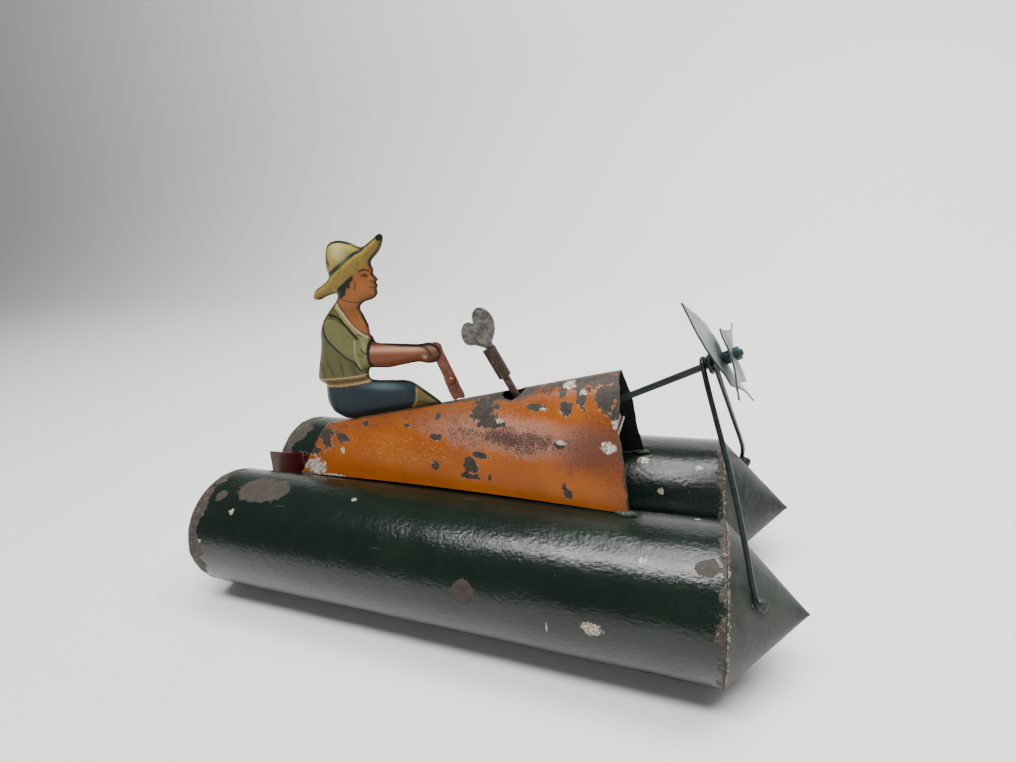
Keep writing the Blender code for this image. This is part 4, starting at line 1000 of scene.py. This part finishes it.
for name, low, high in rudder["knuckles"]:
    roll = [(1.5, high), (1.55, high - 0.3), (1.55, low + 0.3), (1.5, low), (0.86, low), (0.86, high)]
    turnPiece(name + "Knuckle", roll, (rudder["pin"], 0, 0), (0, 0, 1), "rudder", 32, **enamel)

key = {
    "half": 0.5,
    "bow": [(-0.6, 37.0), (-1.6, 37.9), (-2.4, 38.5), (-3.9, 39.9), (-6.7, 41.2), (-7.5, 43.8),
            (-6.3, 47.1), (-3.6, 48.9), (-1.5, 48.6), (-0.25, 47.5), (0.5, 49.5), (2.2, 51.2),
            (4.8, 51.6), (7.3, 49.2), (7.7, 45.4), (6.2, 41.8), (3.6, 39.2), (2.5, 38.2), (2.3, 37.0),
            (0.8, 36.6)],
    "sleeve": [(2.5, 36.9), (2.55, 36.5), (2.5, 30), (2.5, 25.2), (2.4, 24.7), (1.7, 24.6), (1.6, 25),
               (1.6, 36.6), (1.8, 36.9)],
    "arbor": [(0, 35.2), (0.9, 35.1), (1.25, 34.7), (1.3, 34), (1.3, 12), (1.3, -10.2), (1.1, -10.6),
              (0, -10.6)],
}


def stampedFace(flat, depth):
    # a raised rim round the bow, and a dished field inside it
    rim = bell(depth, 0.55, 0.3) * 0.1
    return slabEdge(key["half"], 0.3)(flat, depth) + rim - 0.08 * smooth(0.8, 1.6, depth)


def rolledSeam(radius, height, angle):
    # the sleeve is rolled from sheet, so its seam shows as a groove down one side
    return radius - 0.35 * bell(angle, 4.2, 0.09) * (radius > 2.2), height


def squared(radius, height, angle):
    # the arbor is filed square where the key grips it
    square = 1 / np.maximum(np.abs(np.cos(angle)), np.abs(np.sin(angle)))
    share = smooth(10, 13, height)
    return radius * (1 - share + share * np.minimum(square, 1.22) * 0.95), height


slabPiece("keyBow", key["bow"], 0.3, stampedFace, 0.12,
          lambda along, up, out: fromStern(motorPoint(along, -out, up)), "key",
          look=steelLook("keySteel", (0.07, 0.065, 0.058), (0.22, 0.205, 0.185), 0.64),
          replaced=["key_bow"], slot="key_steel")
turnPiece("keySleeve", key["sleeve"], motorAt, keyWay, "key", 72, rolledSeam,
          look=steelLook("keyDark", (0.035, 0.026, 0.022), (0.1, 0.08, 0.07), 0.5),
          replaced=["key_sleeve"], slot="key_steel")
turnPiece("windingArbor", key["arbor"], motorAt, keyWay, "key", 48, squared,
          look=steelLook("rustyArbor", (0.05, 0.03, 0.02), (0.13, 0.1, 0.08), 0.47),
          replaced=["winding_arbor"], slot="motor_steel", sharp=40)
print("lever, rudder and key made")

propeller = {
    "reach": 35,
    "tin": 0.22,
    # along the shaft, turn, twist of the far and near arm, taper, replaced strip, droop
    "rearBlades": (70.0, 40, 14, -14, 1.15, "rear_blade_strip", 0.3),
    "frontBlades": (73.4, -91, -22, -22, 1.8, "front_blade_strip", 0.6),
    "shaft": [(0, 76.6), (0.7, 76.55), (1.05, 76.3), (1.15, 75.9), (1.15, 60), (1.15, 45), (1.15, 30.5),
              (0.9, 30.2), (0.9, 25), (0.7, 24.8), (0.68, 23.3), (0, 23.2)],
    "hubWide": 2.1,
}


def buildStrip(name):
    # a leaf of tin: its half width falls from the hub to each tip, and each arm is twisted
    place, turnDegrees, farTwist, nearTwist, power, cad, droop = propeller[name]
    reach = np.linspace(-1, 1, 121)[:, None]
    chord = np.linspace(-1, 1, 25)[None, :]
    length = np.abs(reach)
    half = 9.5 * (1 - length) ** power + 0.12
    half = half * (1 + 0.05 * wobble(reach * 20, chord * 0, 40 + int(place), 9) * (length > 0.1))
    ease = np.clip((length - 0.12) / 0.5, 0, 1)
    twist = np.radians(np.where(reach > 0, farTwist, nearTwist)) * ease
    bend = droop * length**2 + 0.25 * wobble(reach * 30, chord * 6, 50 + int(place), 24) * length
    out = half * chord * np.sin(twist) + bend
    wide = half * chord * np.cos(twist)
    arm = propeller["reach"] * reach + 0 * chord
    angle = math.radians(turnDegrees)
    y = wide * math.cos(angle) - arm * math.sin(angle)
    up = wide * math.sin(angle) + arm * math.cos(angle)
    hub = tuple(float(v) for v in motorPoint(np.array(place), np.array(0.0), np.array(0.0)))
    tin = propeller["tin"]
    top, bottom = (fromStern(motorPoint(place + step + out, y, up)) for step in (tin, -tin))
    strip = sheetPiece(name, top, bottom, "propeller", look=tinLeafLook(name + "Tin", hub),
                       replaced=[cad], slot="propeller_tin")
    # painted shade: the leaf's long edges are marked to be painted dark, where the edge is in shadow
    rim = smooth(0.93, 0.985, np.abs(chord) + 0 * reach).reshape(-1, 1)
    paint(strip, np.repeat(np.concatenate((rim, rim)), 3, 1))


def filedHex(radius, height, angle):
    # six flats round the nut, and none in its bore
    flats = 1 / np.cos((angle + 0.3) % (math.pi / 3) - math.pi / 6)
    return radius * np.where(radius > 1.6, flats * 0.9, 1), height


buildStrip("rearBlades")
buildStrip("frontBlades")
turnPiece("propellerShaft", propeller["shaft"], motorAt, shaftWay, "propeller", 32,
          look=rodLook, replaced=["propeller_shaft"], slot="dark_rod")
hubLook = paintedLook("hubPaint", (0.01, 0.035, 0.038), (0.03, 0.07, 0.072), 0.4, 2, 0.6)
for name, low, high, rough, cad in (("hubSpacer", 70.5, 72.9, None, "blade_spacer"),
                                    ("hubNut", 73.9, 75.9, filedHex, "hub_nut")):
    wide = propeller["hubWide"]
    ring = [(wide - 0.3, high), (wide, high - 0.3), (wide, low + 0.3), (wide - 0.2, low),
            (1.25, low), (1.25, high)]
    turnPiece(name, ring, motorAt, shaftWay, "propeller", 48, rough,
              look=hubLook, replaced=[cad], slot="propeller_tin")

stand = {"wire": 0.85, "eye": 2.45, "foot": 217, "spread": 43, "turns": 1.5}


def buildStand():
    # one wire: up from one cone, round the shaft one and a half times, and down to the other
    d, r = stand, dimFloat["radius"]
    slope, a = math.atan2(25, 24), math.radians(d["spread"])
    feet = []
    for sign in (-1, 1):
        out = np.array((0, sign * math.sin(a), math.cos(a)))
        foot = np.array((d["foot"], dimFloat["apart"] * sign, r)) + out * r * (234 - d["foot"]) / 24
        skin = out * math.cos(slope) + np.array((math.sin(slope), 0, 0))
        down = out * -math.sin(slope) + np.array((math.cos(slope), 0, 0))
        feet.append((foot + skin * 1.1, down))
    turn = np.linspace(0, 1, 40)
    angle = math.pi - turn * d["turns"] * math.tau
    eye = motorPoint(64.2 + 3.3 * turn, d["eye"] * np.cos(angle), d["eye"] * np.sin(angle))
    (near, nearDown), (far, farDown) = feet
    top, end = eye[0], eye[-1]
    nearLeg = [near + nearDown * 4, near, near * 0.75 + top * 0.25 + (0.5, -0.2, 0.1),
               (near + top) / 2 + (0.8, -0.2, 0.1), top * 0.9 + near * 0.1, top]
    farLeg = [end, end * 0.9 + far * 0.1, (far + end) / 2 + (0.6, 0.5, 0.6),
              far * 0.85 + end * 0.15 + (1.4, 0.5, 0), far, far + farDown * 3]
    path = np.concatenate((curveThrough(nearLeg, 10)[:-1], eye[:-1], curveThrough(farLeg, 10)))
    wirePiece("standWire", path, d["wire"], "hull", 18, look=rodLook,
              replaced=["propeller_stand"], slot="dark_rod")
    for name, (spot, down) in zip(("nearFootSolder", "farFootSolder"), feet):
        lump(name, spot + down * 1.5 - (0.5, 0, 0.6), (2.7, 1.7, 2.4), 61)


def lump(name, centre, size, seed):
    # a blob of solder: a squashed ball with an uneven skin
    lat = np.linspace(0, math.pi, 22)[1:-1, None]
    lon = np.linspace(0, math.tau, 36, endpoint=False)[None, :]
    skin = 1 + 0.13 * wobble(lat * 3, np.sin(lon) * 3, seed, 4) * np.sin(lat)
    x = np.sin(lat) * np.cos(lon) * skin * size[0]
    y = np.sin(lat) * np.sin(lon) * skin * size[1]
    z = np.cos(lat) * skin * size[2]
    rings = np.stack((x, y, z + 0 * lon), 2) + centre
    poles = np.array(((0, 0, size[2]), (0, 0, -size[2]))) + centre
    ringPiece(name, fromStern(rings), "hull", fromStern(poles), look=solderLook, slot="green_matt")


buildStand()
for seed, name, centre, size in (
    (70, "cowlSolderA", (179.2, -20.6, 49.6), (3.6, 1.5, 1.0)),
    (71, "cowlSolderB", (179.2, 20.6, 49.6), (3.4, 1.5, 1.0)),
    (72, "cowlSolderC", (36.0, -10.8, 44.5), (3.4, 1.3, 1.0)),
    (73, "cowlSolderD", (36.0, 10.8, 44.5), (3.4, 1.3, 1.0)),
):
    lump(name, np.array(centre), size, seed)
print("propeller and stand made")

# the motor inside the cowl keeps its CAD shapes
steel = """upper_motor_plate lower_motor_plate front_motor_bracket rear_motor_bracket front_shaft_bearing
rear_shaft_bearing mainspring second_arbor crown_arbor click click_pin rear_starboard_pillar
rear_port_pillar front_starboard_pillar front_port_pillar"""
brass = "great_wheel second_pinion second_wheel crown_pinion crown_wheel shaft_pinion ratchet_wheel"
for names, look in (
    (steel, steelLook("motorSteel", (0.14, 0.125, 0.1), (0.3, 0.28, 0.25))),
    (brass, steelLook("motorBrass", (0.35, 0.22, 0.07), (0.55, 0.39, 0.15), 0.68)),
    ("front_deck_strap rear_deck_strap rudder_strap",
     paintedLook("strapPaint", (0.018, 0.024, 0.02), (0.035, 0.04, 0.034), 0.5, 4)),
    ("rudder_pin", rodLook),
):
    for name in names.split():
        wear(nodes[name], look)
print("motor dressed")


def paperLook():
    look = Look("paper")
    colour = look.mix(look.noise(6, 5, 0.6), (0.77, 0.765, 0.75), (0.8, 0.795, 0.785))
    dust = look.noise(1.6, 3, 0.6, 4).rise(0.72, 0.75)
    return look.done(look.mix(dust * 0.3, colour, (0.5, 0.48, 0.46)), 0.7)


def buildStage():
    # a paper sweep: flat on the table, then curving up behind
    run = np.linspace(-0.7, 0.55, 40)
    bend = np.linspace(0, math.pi / 2, 24)[1:]
    curve = np.stack((0.55 + 0.35 * np.sin(bend), 0.35 - 0.35 * np.cos(bend)), 1)
    wall = np.stack((np.full(12, 0.9), np.linspace(0.4, 0.8, 12)), 1)
    line = np.concatenate((np.stack((run, run * 0), 1), curve, wall))
    x = np.linspace(-5, 5, 30)[None, :]
    y, z = line[:, 0, None], line[:, 1, None] - 0.00005
    grid = np.stack(np.broadcast_arrays(x, y, z), 2)
    mesh = bpy.data.meshes.new("paperSweep")
    mesh.from_pydata(grid.reshape(-1, 3).tolist(), [], quads(len(line), 30))
    mesh.flip_normals()
    mesh.shade_smooth()
    wear(newObject("paperSweep", mesh), paperLook())


def areaLight(name, spot, aim, size, power, colour):
    light = bpy.data.lights.new(name, "AREA")
    light.shape = "RECTANGLE"
    light.size, light.size_y = size
    light.energy = power
    light.color = colour
    obj = newObject(name, light)
    obj.location = spot
    obj.rotation_euler = (Vector(aim) - Vector(spot)).to_track_quat("-Z", "Y").to_euler()


buildStage()
areaLight("topSoft", (0.05, -0.24, 1.0), (0.02, 0, 0), (0.85, 0.18), 15, (1, 0.99, 0.97))
areaLight("backSoft", (0.45, 0.3, 1.25), (0.3, 0.75, 0.2), (1.2, 0.5), 26, (1, 1, 1))
areaLight("frontSoft", (0.45, -0.9, 0.5), (0.03, 0, 0.05), (0.4, 0.3), 0.9, (0.98, 0.99, 1))
world = bpy.data.worlds.new("studio")
bpy.context.scene.world = world
world.use_nodes = True
world.node_tree.nodes["Background"].inputs["Color"].default_value = (0.95, 0.97, 1, 1)
world.node_tree.nodes["Background"].inputs["Strength"].default_value = 0.2

camera = newObject("camera", bpy.data.cameras.new("camera"))
camera.data.sensor_width = 36
camera.data.lens = 18.16
camera.data.clip_start = 0.005
right, over, back = (0.9328, 0.3394, -0.1205), (-0.0221, 0.3876, 0.9215), (0.3595, -0.857, 0.3691)
camera.rotation_mode = "QUATERNION"
camera.rotation_quaternion = Matrix((right, over, back)).transposed().to_quaternion()
camera.location = (0.086, -0.1631, 0.158)
bpy.context.scene.camera = camera
print("stage made")
